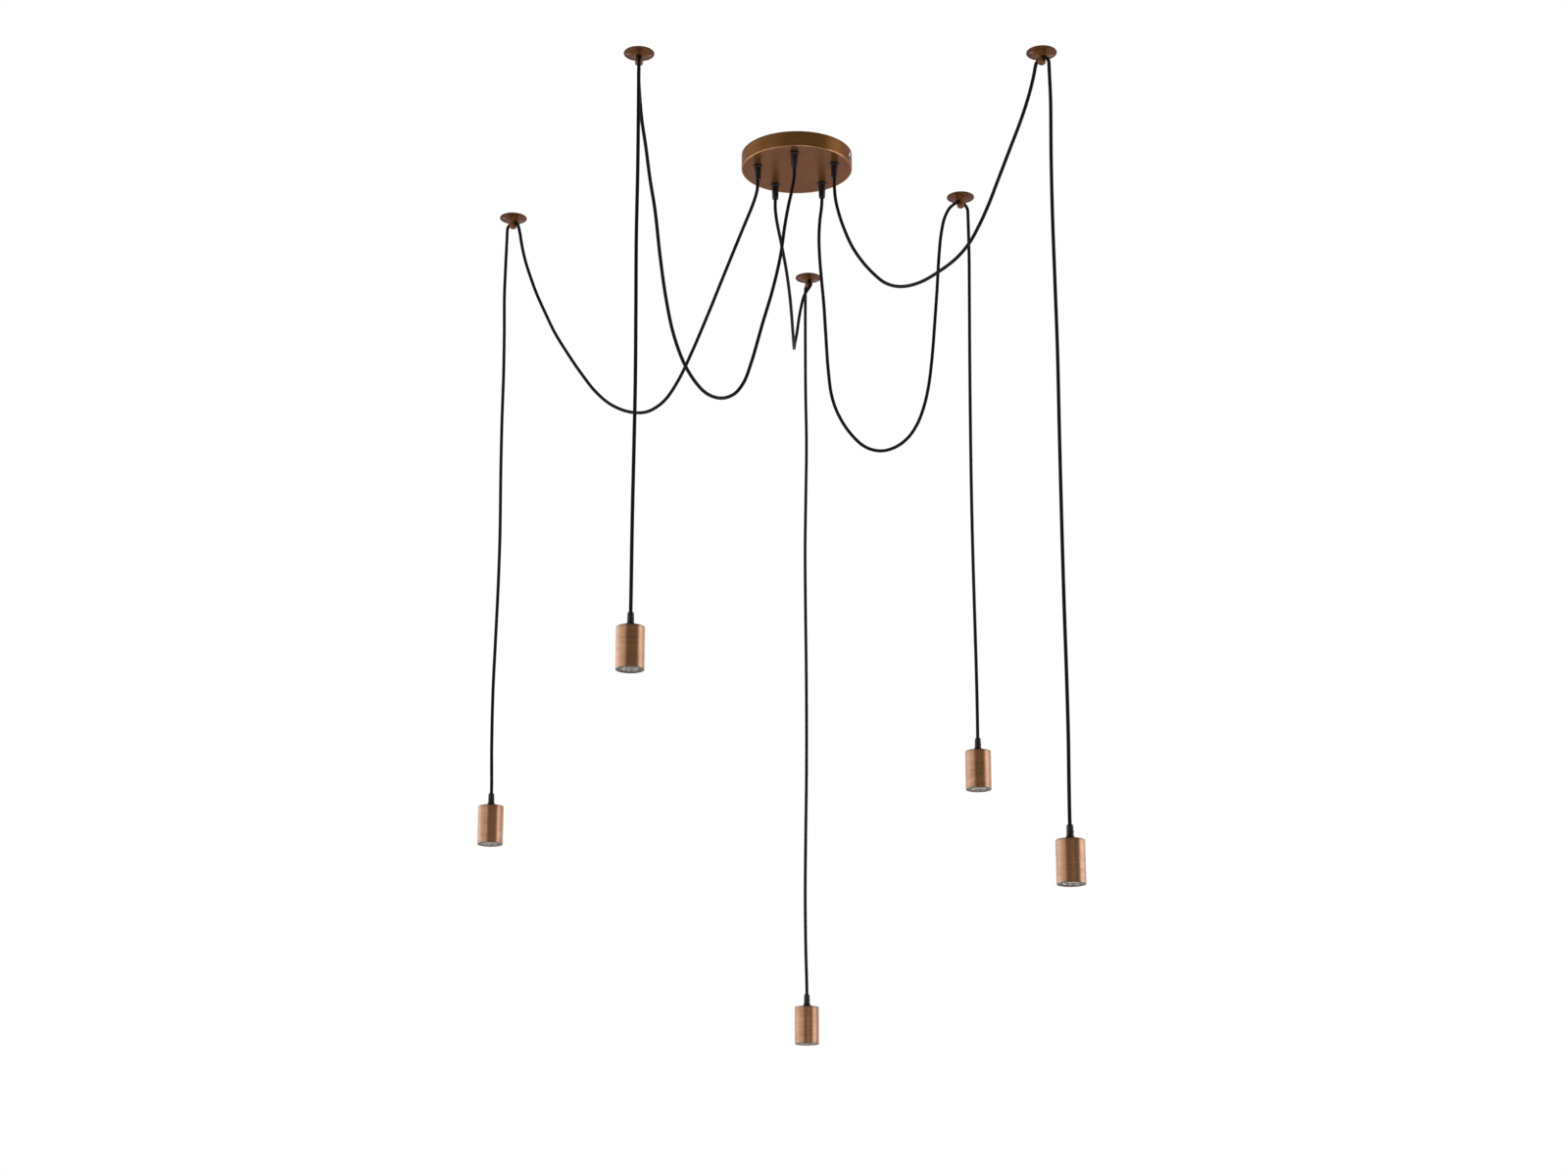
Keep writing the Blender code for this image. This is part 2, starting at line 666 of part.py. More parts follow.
def cord_tails(parent):
    """The five cords' tails above their grips, brought together in one splice cap."""
    bottom = splice_top_drop + splice_height
    outline = [
        (0, -splice_top_drop), (splice_radius, -splice_top_drop),
        (splice_radius, splice_chamfer - bottom), (splice_radius - splice_chamfer, -bottom),
        (0, -bottom),
    ]
    tails = solid("cord_tails", turned_shape(outline, grip_sides), black_plastic, parent)
    hold = grip_hold_drop - seat_gap
    for slot in range(len(placings)):
        angle = grip_angle(slot)
        rise = (tail_exit_drop + tail_peak_drop) / 2
        route = [
            toward(angle, splice_radius / 2, -tail_exit_drop),
            toward(angle, 2 * splice_radius, -tail_exit_drop),
            toward(angle, grip_ring_radius / 2, -rise),
            toward(angle, grip_ring_radius * tail_peak_share, -tail_peak_drop),
            toward(angle, grip_ring_radius - cord_diameter, -tail_peak_drop - cord_radius),
            toward(angle, grip_ring_radius, -grip_stub_top_drop + seat_gap),
            toward(angle, grip_ring_radius, -canopy_face_drop),
            toward(angle, grip_ring_radius, -hold),
        ]
        tail = solid(f"tail_{slot}", tail_shape(route, cord_radius), black_cord, tails)
        combine(tails, tail, "UNION")
    return tails


def canopy_grip(number, slot, parent):
    """A tapered cord grip: flange under the face, and a stub that snaps into the sheet."""
    angle = grip_angle(slot)
    snap_seat = canopy_floor_drop - seat_gap
    outline = [
        (cord_way_radius, -grip_stub_top_drop),
        (grip_stub_radius - seat_gap, -grip_stub_top_drop),
        (grip_snap_radius, grip_snap_height - snap_seat),
        (grip_snap_radius, -snap_seat),
        (grip_stub_radius, -snap_seat),
        (grip_stub_radius, -grip_seat_drop),
        (grip_flange_radius, -grip_seat_drop),
        (grip_flange_radius, -grip_seat_drop - grip_flange_height),
        (grip_shoulder_radius, -grip_seat_drop - grip_flange_height - grip_shoulder_height),
        (grip_waist_radius, grip_tip_height - grip_mouth_drop),
        (grip_tip_radius, -grip_mouth_drop),
        (cord_way_radius, -grip_mouth_drop),
    ]
    return solid(f"canopy_grip_{number}", turned_shape(outline, grip_sides), black_plastic,
                 parent, toward(angle, grip_ring_radius), (0, 0, radians(angle)))


def cross_bore_cutter(name, parent):
    """The cord's way through a hook's neck, flared at both mouths, along X."""
    mouth = neck_radius + cutter_overrun
    flare = (bore_flare_radius - bore_radius) / (neck_radius - bore_straight_half)
    wide = bore_radius + flare * (mouth - bore_straight_half)
    outline = [
        (0, -mouth), (wide, -mouth), (bore_radius, -bore_straight_half),
        (bore_radius, bore_straight_half), (wide, mouth), (0, mouth),
    ]
    return solid(name, turned_shape(outline, hole_sides), None, parent, (0, 0, -bore_drop),
                 (0, pi / 2, 0))


def hook_plate(number, screw_angle, parent):
    """The cast ceiling plate: beaded edge, low dome, trumpet neck and cross bore."""
    bead_inner = hook_radius - hook_bead_width
    outline = [
        (0, 0), (hook_radius, 0),
        (hook_radius, -hook_bead_height * hook_bead_side_share),
        (hook_radius - hook_bead_width * hook_bead_crown_share, -hook_bead_height),
        (bead_inner, -hook_edge_height),
        (hook_dome_radius, -hook_dome_height),
        (neck_root_radius, -neck_root_height),
        (neck_throat_radius, -neck_throat_height),
        (neck_radius, -bore_drop),
        (neck_radius, -neck_length), (0, -neck_length),
    ]
    plate = solid(f"hook_plate_{number}", turned_shape(outline, hook_sides), copper, parent)
    combine(plate, cross_bore_cutter(f"cross_bore_{number}", plate), "DIFFERENCE")
    tap_length = neck_length - bore_drop + cutter_overrun
    tap = solid(f"knob_tap_{number}",
                rod_shape(knob_shank_radius + seat_gap, tap_length, hole_sides), None, plate,
                (0, 0, -bore_drop - tap_length / 2))
    combine(plate, tap, "DIFFERENCE")
    floor = hook_dome_height + cutter_overrun
    for side in (0, 180):
        sink = solid(f"screw_sink_{number}_{side}", turned_shape([
            (0, cutter_overrun), (hook_screw_radius, cutter_overrun),
            (hook_screw_radius, hook_sink_depth - hook_dome_height),
            (hook_sink_radius, -hook_dome_height),
            (hook_sink_radius, -floor), (0, -floor),
        ], hole_sides), None, plate, toward(screw_angle + side, hook_screw_circle))
        combine(plate, sink, "DIFFERENCE")
    return plate


def clamp_knob(number, parent):
    """The round-nosed knob whose shank pinches the cord in the cross bore."""
    top = neck_length + seat_gap
    nose = top + knob_height
    shank_top = bore_drop + cord_radius + seat_gap
    outline = [
        (0, -shank_top), (knob_shank_radius, -shank_top), (knob_shank_radius, -top),
        (knob_top_radius, -top), (knob_radius, -top - knob_shoulder_height),
        (knob_radius, -top - knob_belly_height),
        (knob_radius * knob_cheek_share, -top - knob_height * knob_cheek_height_share),
        (knob_nose_radius, -nose), (0, -nose),
    ]
    knob = solid(f"clamp_knob_{number}", turned_shape(outline, knob_sides), copper, parent)
    slot = solid(f"knob_slot_{number}",
                 box_shape(knob_slot_width, 2 * knob_radius + cutter_overrun,
                           2 * knob_slot_depth), None, knob, (0, 0, -nose))
    combine(knob, slot, "DIFFERENCE")
    return knob


def over_the_knob(outward, bend, last):
    """Points of the cord's arch, from the bore's middle outwards to a last turn in degrees."""
    up = Vector((0, 0, 1))
    turns = [radians(a) for a in range(arch_step, last + 1, arch_step)]
    arch = [outward * bend * sin(a) + up * bend * (cos(a) - 1) for a in turns]
    return [outward * seat_gap / 2, outward * arch_lead, *arch]


def lamp_grip(number, parent):
    """The black grip on top of a cup, with a flared collar and a domed crown."""
    height = lamp_grip_height
    outline = [
        (cord_way_radius, height),
        (lamp_grip_crown_radius, height),
        (lamp_grip_neck_radius, height - lamp_grip_crown_height),
        (lamp_grip_radius, lamp_grip_collar_height + lamp_grip_cone_height),
        (lamp_grip_collar_radius, lamp_grip_collar_height),
        (lamp_grip_collar_radius, seat_gap),
        (grip_stub_radius, seat_gap),
        (grip_stub_radius, -lamp_stub_length),
        (cord_way_radius, -lamp_stub_length),
    ]
    return solid(f"lamp_grip_{number}", turned_shape(outline, grip_sides), black_plastic, parent)


def lamp_cup(number, parent):
    """The brushed cylinder round the lampholder, closed above and open below."""
    outline = [
        (grip_stub_radius + seat_gap, 0),
        *arc((cup_radius - cup_top_radius, -cup_top_radius), cup_top_radius, 90, 0, 2),
        (cup_radius, cup_rim_bevel - cup_height),
        (cup_radius - cup_rim_bevel, -cup_height),
        (cup_inner_radius, -cup_height),
        (cup_inner_radius, -cup_top_thickness),
        (grip_stub_radius + seat_gap, -cup_top_thickness),
    ]
    return solid(f"lamp_cup_{number}", turned_shape(outline, cup_sides), brushed_copper, parent)


def lamp_insert(number, parent):
    """The moulded lampholder body: neck, barrel and the rim that fills the cup's mouth."""
    rim_radius = cup_inner_radius * cos(pi / cup_sides) - seat_gap
    stub_floor = lamp_stub_length + insert_stub_room
    neck_foot = insert_top_drop + insert_neck_length
    rim_top = insert_rim_drop - insert_rim_height
    outline = [
        (grip_stub_radius + seat_gap, -insert_top_drop),
        (insert_neck_radius, -insert_top_drop),
        (insert_neck_radius, -neck_foot),
        (insert_barrel_radius, -neck_foot - insert_shoulder_height),
        (insert_barrel_radius, insert_taper_height - rim_top),
        (rim_radius, -rim_top),
        (rim_radius, -insert_rim_drop),
        (insert_cavity_radius, -insert_rim_drop),
        (insert_cavity_radius, -insert_floor_drop),
        (insert_wire_radius, -insert_floor_drop),
        (insert_wire_radius, -stub_floor),
        (grip_stub_radius + seat_gap, -stub_floor),
    ]
    return solid(f"lamp_insert_{number}", turned_shape(outline, insert_sides), bakelite, parent)


def screw_shell(number, parent):
    """The thin metal shell that a lamp screws into, folded in at its top."""
    outer = shell_radius * cos(pi / insert_sides)
    inner = outer - shell_wall
    fold = outer - shell_fold_width
    outline = [
        (fold, -shell_top_drop), (outer, -shell_top_drop), (outer, -shell_lip_drop),
        (inner, -shell_lip_drop), (inner, -shell_top_drop - shell_wall),
        (fold, -shell_top_drop - shell_wall),
    ]
    return solid(f"screw_shell_{number}", turned_shape(outline, insert_sides), nickel, parent)


def lamp_contact(number, parent):
    """The sprung tongue that touches the lamp's tip, bent down from its foot."""
    top = -insert_floor_drop - seat_gap
    half = contact_reach / 2
    tongue_foot = contact_foot_length - half
    tip_run = contact_foot_length / 2
    low = top - contact_spring_drop
    middle = [(-half, top), (tongue_foot, top), (half - tip_run, low), (half, low)]
    thick = contact_thickness
    under = [(x, z - thick) for x, z in reversed(middle)]
    return solid(f"lamp_contact_{number}", prism_shape(middle + under, contact_width), brass,
                 parent)


def pendant(number, canopy):
    """One hook with its knob, swag, drop and lampholder."""
    hook_turn, reach_share, drop_share, slot, twist, screw_turn = placings[number]
    bend, swag_arch, swag_route, drop_route = cords[number]
    hook_place = toward(hook_turn, hook_reach * reach_share)
    cup_drop = longest_drop * drop_share
    heading = Matrix.Rotation(radians(twist), 3, "Z") @ -hook_place.normalized()
    bore_angle = degrees(atan2(heading.y, heading.x))
    bore_place = hook_place - Vector((0, 0, bore_drop))
    hook = place(f"hook_{number}", hook_place, bore_angle)
    hook_plate(number, screw_turn - bore_angle, hook)
    clamp_knob(number, hook)
    canopy_grip(number, slot, canopy)

    mouth = toward(grip_angle(slot), grip_ring_radius, -grip_mouth_drop)
    held = mouth + Vector((0, 0, grip_hold_depth))
    arch = [bore_place + point for point in over_the_knob(heading, bend, swag_arch)]
    cord(f"swag_cord_{number}", fitted(swag_route, mouth, arch[-1]), [held], arch[-2::-1])

    swing = place(f"pendant_{number}", bore_place)
    arch = over_the_knob(-heading, bend, drop_arch)
    plumb = -heading * bend
    fall = [plumb + Vector((aside, 0, height + bore_drop)) for aside, height in drop_route]
    crown = plumb + Vector((0, 0, bore_drop - cup_drop + lamp_grip_height))
    held = crown - Vector((0, 0, grip_hold_depth))
    fall = fitted(fall, fall[0], crown + Vector((0, 0, 2 * cord_diameter)))
    cord(f"drop_cord_{number}", [arch[-1], *fall, crown], arch[:-1], [held], swing)
    holder = place(f"lampholder_{number}", plumb + Vector((0, 0, bore_drop - cup_drop)), 0, swing)
    lamp_grip(number, holder)
    lamp_cup(number, holder)
    lamp_insert(number, holder)
    screw_shell(number, holder)
    lamp_contact(number, holder)


def build():
    canopy = place("canopy")
    bracket = place("bracket", (0, 0, 0), bracket_turn, canopy)
    canopy_cover(canopy)
    ceiling_bracket(bracket)
    terminal_block(bracket)
    cord_tails(canopy)
    for number, turn in enumerate((bracket_turn, bracket_turn + 180), 1):
        side_screw(number, turn, canopy)
    for number in placings:
        pendant(number, canopy)


build()
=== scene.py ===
# Five-light swag pendant: its finishes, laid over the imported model. Metres. The ceiling is at
# zero height with the room below it, and the canopy's centre is at the origin.
import bpy
import bmesh
import json
from math import atan2, cos, degrees, hypot, pi, radians, sin, tan
from mathutils import Matrix, Vector


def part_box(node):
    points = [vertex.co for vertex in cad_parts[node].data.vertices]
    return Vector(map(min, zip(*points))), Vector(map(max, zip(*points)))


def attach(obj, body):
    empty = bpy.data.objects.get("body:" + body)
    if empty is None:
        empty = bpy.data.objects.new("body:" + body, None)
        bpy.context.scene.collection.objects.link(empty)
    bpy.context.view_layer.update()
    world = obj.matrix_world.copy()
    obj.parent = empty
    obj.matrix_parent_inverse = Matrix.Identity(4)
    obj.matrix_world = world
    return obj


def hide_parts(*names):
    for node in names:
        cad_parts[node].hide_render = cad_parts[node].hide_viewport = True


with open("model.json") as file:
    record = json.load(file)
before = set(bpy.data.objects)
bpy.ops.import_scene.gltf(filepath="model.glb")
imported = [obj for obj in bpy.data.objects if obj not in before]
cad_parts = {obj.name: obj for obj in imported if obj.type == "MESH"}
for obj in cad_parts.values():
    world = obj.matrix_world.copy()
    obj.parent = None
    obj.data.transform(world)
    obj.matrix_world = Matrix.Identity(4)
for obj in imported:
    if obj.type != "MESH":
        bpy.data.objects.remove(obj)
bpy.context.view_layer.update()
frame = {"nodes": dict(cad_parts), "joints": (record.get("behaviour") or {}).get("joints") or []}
print("stage: model loaded")


# Camera
view = {
    "place": (-0.0544, -4.3922, -2.0954),
    "tilt": (104.633, 0, -0.416),
    "lens": 62.01,
    "sensor": 36,
    "shiftUp": 0.055,
    "farthest": 100,
}

cameraData = bpy.data.cameras.new("camera")
cameraData.sensor_fit = "HORIZONTAL"
cameraData.sensor_width = view["sensor"]
cameraData.lens = view["lens"]
cameraData.shift_y = view["shiftUp"]
cameraData.clip_end = view["farthest"]
camera = bpy.data.objects.new("camera", cameraData)
camera.location = view["place"]
camera.rotation_euler = [radians(angle) for angle in view["tilt"]]
bpy.context.scene.collection.objects.link(camera)
bpy.context.scene.camera = camera
print("stage: camera")


# Small tools for materials. The looks give the size of surface detail in millimetres
perMetre = 1000
ownShift = 37.3  # the most that a piece's pattern is moved aside, in cells of the noise


def srgb(red, green, blue):
    # a screen colour of 0 to 255, as the linear colour that a shader takes
    shares = [channel / 255 for channel in (red, green, blue)]
    return (*[s / 12.92 if s <= 0.04045 else ((s + 0.055) / 1.055) ** 2.4 for s in shares], 1)


def setInputs(tree, node, inputs):
    for name, value in inputs.items():
        if isinstance(value, bpy.types.NodeSocket):
            tree.links.new(value, node.inputs[name])
        else:
            node.inputs[name].default_value = value


def addNode(tree, kind, inputs=None, **settings):
    node = tree.nodes.new("ShaderNode" + kind)
    for name, value in settings.items():
        setattr(node, name, value)
    setInputs(tree, node, inputs or {})
    return node


def sums(tree, operation, *values):
    node = addNode(tree, "Math", dict(enumerate(values)), operation=operation)
    return node.outputs[0]


def clamped(tree, value):
    return addNode(tree, "Clamp", {0: value}).outputs[0]


def mapped(tree, value, low, high, newLow=0.0, newHigh=1.0, **settings):
    node = addNode(tree, "MapRange", {0: value, 1: low, 2: high, 3: newLow, 4: newHigh}, **settings)
    return node.outputs[0]


def mixColours(tree, share, first, second):
    node = addNode(tree, "Mix", {0: share, 6: first, 7: second}, data_type="RGBA")
    return node.outputs[2]


def mixNumbers(tree, share, first, second):
    return addNode(tree, "Mix", {0: share, 2: first, 3: second}).outputs[0]


def noise(tree, place, detail, roughness, distortion=0.0):
    node = addNode(tree, "TexNoise", {"Vector": place, "Scale": 1, "Detail": detail,
                                      "Roughness": roughness, "Distortion": distortion})
    return node.outputs[0]


def lengthOf(tree, vector):
    return addNode(tree, "VectorMath", {0: vector}, operation="LENGTH").outputs["Value"]


def fromAxis(tree, here):
    # the distance from the piece's own Z axis
    flat = addNode(tree, "VectorMath", {0: here, 1: (1, 1, 0)}, operation="MULTIPLY")
    return lengthOf(tree, flat.outputs[0])


def bumped(tree, strength, depth, height):
    node = addNode(tree, "Bump", {"Strength": strength, "Distance": depth, "Height": height})
    return node.outputs[0]


def newGroup(name, inputs, outputs):
    group = bpy.data.node_groups.new(name, "ShaderNodeTree")
    for label, start in inputs.items():
        socket = group.interface.new_socket(name=label, in_out="INPUT", socket_type="NodeSocketFloat")
        socket.default_value = start
    for label in outputs:
        group.interface.new_socket(name=label, in_out="OUTPUT", socket_type="NodeSocketFloat")
    return group, group.nodes.new("NodeGroupInput").outputs, group.nodes.new("NodeGroupOutput")


def useGroup(tree, group, **values):
    node = tree.nodes.new("ShaderNodeGroup")
    node.node_tree = group
    setInputs(tree, node, values)
    return node.outputs


def ownPlace(group):
    # the piece's own coordinates, and a shift that differs from piece to piece
    here = addNode(group, "TexCoord").outputs["Object"]
    number = addNode(group, "ObjectInfo").outputs["Random"]
    return here, sums(group, "MULTIPLY", number, ownShift)


def shifted(group, here, own, size):
    # coordinates in which one noise cell is the size, in millimetres
    scale = sums(group, "DIVIDE", perMetre, size)
    scaled = addNode(group, "VectorMath", {0: here, 3: scale}, operation="SCALE").outputs[0]
    return addNode(group, "VectorMath", {0: scaled, 1: own}, operation="ADD").outputs[0]


# Fine turned lines round the Z axis: along the height on a wall, along the radius on a face.
# Each layer has its fineness, beside the line width, and its share
linePattern = {
    "layers": ((0.09, 0.7), (0.3, 0.8), (1, 1), (3, 0.5)),
    "detail": 2,
    "roughness": 0.55,
}


def makeTurnedLines():
    group, values, out = newGroup(
        "turnedLines", {"lineWidth": 0.25, "streakLength": 30, "contrast": 0.6}, ("lines", "height"))
    here, own = ownPlace(group)
    parts = addNode(group, "SeparateXYZ", {0: here}).outputs
    across = sums(group, "ADD", fromAxis(group, here), parts["Z"])
    streak = sums(group, "DIVIDE", perMetre, values["streakLength"])
    line = sums(group, "DIVIDE", perMetre, values["lineWidth"])
    total = 0
    for fineness, share in linePattern["layers"]:
        place = addNode(group, "CombineXYZ", {
            0: sums(group, "MULTIPLY", parts["X"], streak),
            1: sums(group, "MULTIPLY", parts["Y"], streak),
            2: sums(group, "MULTIPLY_ADD", across, sums(group, "MULTIPLY", line, fineness), own),
        }).outputs[0]
        layer = noise(group, place, linePattern["detail"], linePattern["roughness"])
        total = sums(group, "MULTIPLY_ADD", layer, share, total)
    half = sum(share for fineness, share in linePattern["layers"]) / 2
    middle = sums(group, "SUBTRACT", total, half)
    lines = sums(group, "MULTIPLY_ADD", middle, values["contrast"], 0.5)
    setInputs(group, out, {"lines": clamped(group, lines), "height": total})
    return group


# Clouded tarnish with small specks in it
tarnishPattern = {
    "cloudDetail": 5,
    "cloudRoughness": 0.58,
    "cloudDistortion": 0.7,
    "speckDetail": 3,
    "speckRoughness": 0.7,
    "speckFrom": 0.52,
    "speckFull": 0.72,
}


def makeTarnish():
    group, values, out = newGroup("tarnish", {"cloudSize": 30, "speckSize": 2, "contrast": 1.5},
                                  ("clouds", "specks"))
    here, own = ownPlace(group)
    cloud = noise(group, shifted(group, here, own, values["cloudSize"]), tarnishPattern["cloudDetail"],
                  tarnishPattern["cloudRoughness"], tarnishPattern["cloudDistortion"])
    middle = sums(group, "SUBTRACT", cloud, 0.5)
    clouds = sums(group, "MULTIPLY_ADD", middle, values["contrast"], 0.5)
    speck = noise(group, shifted(group, here, own, values["speckSize"]), tarnishPattern["speckDetail"],
                  tarnishPattern["speckRoughness"])
    specks = mapped(group, speck, tarnishPattern["speckFrom"], tarnishPattern["speckFull"])
    setInputs(group, out, {"clouds": clamped(group, clouds), "specks": specks})
    return group


# Edges: the wear that each mesh carries, broken up unevenly. Above zero it is rubbed bright, and below
# zero it is painted shade that darkens the edge
rubbedPattern = {
    "detail": 4,
    "roughness": 0.65,
    "patchFrom": 0.3,
    "patchFull": 0.62,
    "leastWear": 0.35,
}


def makeWornAndShadedEdges():
    group, values, out = newGroup("rubbedEdges", {"amount": 1, "patchSize": 4}, ("mask", "grime"))
    here, own = ownPlace(group)
    worn = addNode(group, "Attribute", attribute_name="wear").outputs["Fac"]
    patch = noise(group, shifted(group, here, own, values["patchSize"]), rubbedPattern["detail"],
                  rubbedPattern["roughness"])
    uneven = mapped(group, patch, rubbedPattern["patchFrom"], rubbedPattern["patchFull"],
                    rubbedPattern["leastWear"], 1)
    mask = sums(group, "MULTIPLY", sums(group, "MULTIPLY", worn, uneven), values["amount"])
    # painted shade: the edges whose wear is below zero
    grime = sums(group, "MULTIPLY", worn, -1)
    setInputs(group, out, {"mask": clamped(group, mask), "grime": clamped(group, grime)})
    return group


# The fine grain of moulded plastic or rubber, and its uneven gloss
mouldedPattern = {
    "grainDetail": 2,
    "grainRoughness": 0.5,
    "patchDetail": 3,
    "patchRoughness": 0.55,
    "patchFrom": 0.3,
    "patchFull": 0.7,
}


def makeMouldedGrain():
    group, values, out = newGroup("mouldedGrain", {"grainSize": 0.3, "patchSize": 6}, ("grain", "patches"))
    here, own = ownPlace(group)
    grain = noise(group, shifted(group, here, own, values["grainSize"]), mouldedPattern["grainDetail"],
                  mouldedPattern["grainRoughness"])
    patch = noise(group, shifted(group, here, own, values["patchSize"]), mouldedPattern["patchDetail"],
                  mouldedPattern["patchRoughness"])
    patches = mapped(group, patch, mouldedPattern["patchFrom"], mouldedPattern["patchFull"])
    setInputs(group, out, {"grain": grain, "patches": patches})
    return group


# Painted shade: a darker ring round each of the holes in a ring of holes, where the grips in them shade
# the face
def makeHoleShade():
    group, values, out = newGroup(
        "holeShade", {"ringRadius": 0.07, "firstAngle": 0, "stepAngle": 1, "edge": 0.006,
                      "reach": 0.016, "strength": 0.5}, ("shade",))
    here = addNode(group, "TexCoord").outputs["Object"]
    parts = addNode(group, "SeparateXYZ", {0: here}).outputs
    radius = fromAxis(group, here)
    angle = sums(group, "SUBTRACT", sums(group, "ARCTAN2", parts["Y"], parts["X"]), values["firstAngle"])
    turns = sums(group, "DIVIDE", angle, values["stepAngle"])
    aside = sums(group, "SUBTRACT", turns, sums(group, "ROUND", turns))
    along = sums(group, "MULTIPLY", sums(group, "MULTIPLY", aside, values["stepAngle"]), radius)
    away = sums(group, "SUBTRACT", radius, values["ringRadius"])
    distance = lengthOf(group, addNode(group, "CombineXYZ", {0: along, 1: away}).outputs[0])
    near = mapped(group, distance, values["edge"], values["reach"], 1, 0,
                  interpolation_type="SMOOTHSTEP")
    setInputs(group, out, {"shade": sums(group, "MULTIPLY", near, values["strength"])})
    return group


turnedLines = makeTurnedLines()
tarnish = makeTarnish()
rubbedEdges = makeWornAndShadedEdges()
mouldedGrain = makeMouldedGrain()
holeShade = makeHoleShade()


def newMaterial(name):
    material = bpy.data.materials.new(name)
    material.use_nodes = True
    shader = material.node_tree.nodes["Principled BSDF"]
    return material, material.node_tree, shader


# Copper under a brown lacquer: turned lines, clouds of tarnish, rubbed edges, and edges darkened by
# painted shade. The depth of the lines is counted in line widths, and the specks are pits in them
copperRelief = {"lineDepth": 0.1, "speckPits": 0.4}


def copperFinish(name, look):
    material, tree, shader = newMaterial(name)
    brushed = useGroup(tree, turnedLines, lineWidth=look["lineWidth"],
                       streakLength=look["streakLength"], contrast=look["lineContrast"])
    tarnished = useGroup(tree, tarnish, cloudSize=look["cloudSize"],
                         speckSize=look["speckSize"], contrast=look["cloudContrast"])
    rubbed = useGroup(tree, rubbedEdges, amount=look["wear"], patchSize=look["wearPatch"])
    ground = mixColours(tree, brushed["lines"], look["darkLine"], look["lightLine"])
    clouded = mixColours(tree, sums(tree, "MULTIPLY", tarnished["clouds"], look["cloudShare"]),
                         ground, look["cloud"])
    speckled = mixColours(tree, sums(tree, "MULTIPLY", tarnished["specks"], look["speckShare"]),
                          clouded, look["speck"])
    edged = mixColours(tree, rubbed["mask"], speckled, look["bare"])
    rough = mapped(tree, tarnished["clouds"], 0, 1, look["roughLow"], look["roughHigh"])
    rough = sums(tree, "MULTIPLY_ADD", brushed["lines"], -look["lineGloss"], rough)
    relief = sums(tree, "MULTIPLY_ADD", tarnished["specks"], -copperRelief["speckPits"],
                  brushed["height"])
    normal = bumped(tree, look["bump"], look["lineWidth"] / perMetre * copperRelief["lineDepth"], relief)
    setInputs(tree, shader, {
        # painted shade: edges whose wear is below zero take the look's shade colour
        "Base Color": mixColours(tree, rubbed["grime"], edged, look["grime"]),
        "Roughness": sums(tree, "MULTIPLY_ADD", rubbed["mask"], -look["wearGloss"], rough),
        "Metallic": sums(tree, "MULTIPLY_ADD", rubbed["mask"], 1 - look["metal"], look["metal"]),
        "Specular Tint": look["edgeTint"],
        "Coat Weight": look["lacquer"],
        "Coat Roughness": look["lacquerRough"],
        "Coat IOR": look["lacquerIndex"],
        "Normal": normal,
        "Coat Normal": normal,
    })
    return material


# Black or pale plastic and bakelite. The depth of the grain is counted in its size
grainDepth = 0.15


def mouldedFinish(name, look):
    material, tree, shader = newMaterial(name)
    grain = useGroup(tree, mouldedGrain, grainSize=look["grainSize"], patchSize=look["patchSize"])
    rubbed = useGroup(tree, rubbedEdges, amount=look["wear"], patchSize=look["wearPatch"])
    colour = mixColours(tree, grain["patches"], look["dark"], look["light"])
    setInputs(tree, shader, {
        "Base Color": mixColours(tree, rubbed["mask"], colour, look["rubbed"]),
        "Roughness": mapped(tree, grain["patches"], 0, 1, look["roughLow"], look["roughHigh"]),
        "Normal": bumped(tree, look["bump"], look["grainSize"] / perMetre * grainDepth, grain["grain"]),
    })
    return material


# Plain plated or solid metal: nickel, zinc, brass, steel. Each look starts from this one
platedLook = {
    "metal": 1,
    "cloudContrast": 1.4,
    "speckShare": 0.5,
    "wear": 1,
    "wearPatch": 2,
    "wearShare": 0.5,
    "bump": 0.2,
    "bumpDepth": 0.00004,
}


def platedFinish(name, look):
    material, tree, shader = newMaterial(name)
    tarnished = useGroup(tree, tarnish, cloudSize=look["cloudSize"], speckSize=look["speckSize"],
                         contrast=look["cloudContrast"])
    rubbed = useGroup(tree, rubbedEdges, amount=look["wear"], patchSize=look["wearPatch"])
    colour = mixColours(tree, tarnished["clouds"], look["light"], look["dull"])
    specks = sums(tree, "MULTIPLY", tarnished["specks"], look["speckShare"])
    colour = mixColours(tree, specks, colour, look["speck"])
    edges = sums(tree, "MULTIPLY", rubbed["mask"], look["wearShare"])
    setInputs(tree, shader, {
        "Base Color": mixColours(tree, edges, colour, look["light"]),
        "Roughness": mapped(tree, tarnished["clouds"], 0, 1, look["roughLow"], look["roughHigh"]),
        "Metallic": look["metal"],
        "Normal": bumped(tree, look["bump"], look["bumpDepth"], tarnished["specks"]),
    })
    return material


# Small tools for meshes. An outline is a list of (radius, height, corner radius, wear), in which the last
# one or two may be left out, and a wear below zero is painted shade. How its corners are rounded:
corners = {
    "guard": 0.00025,  # how near a corner the point lies that keeps the flat beside it flat
    "shortestFlat": 0.001,  # a shorter flat has no such points
    "longestRun": 0.48,  # the share of a side that one corner may take
    "endWear": 0.7,  # the share of the wear where a corner starts and ends
}
smoothUpTo = 38  # degrees between faces that are still shaded as one
threadSmoothUpTo = 60
recessTaper = 0.7


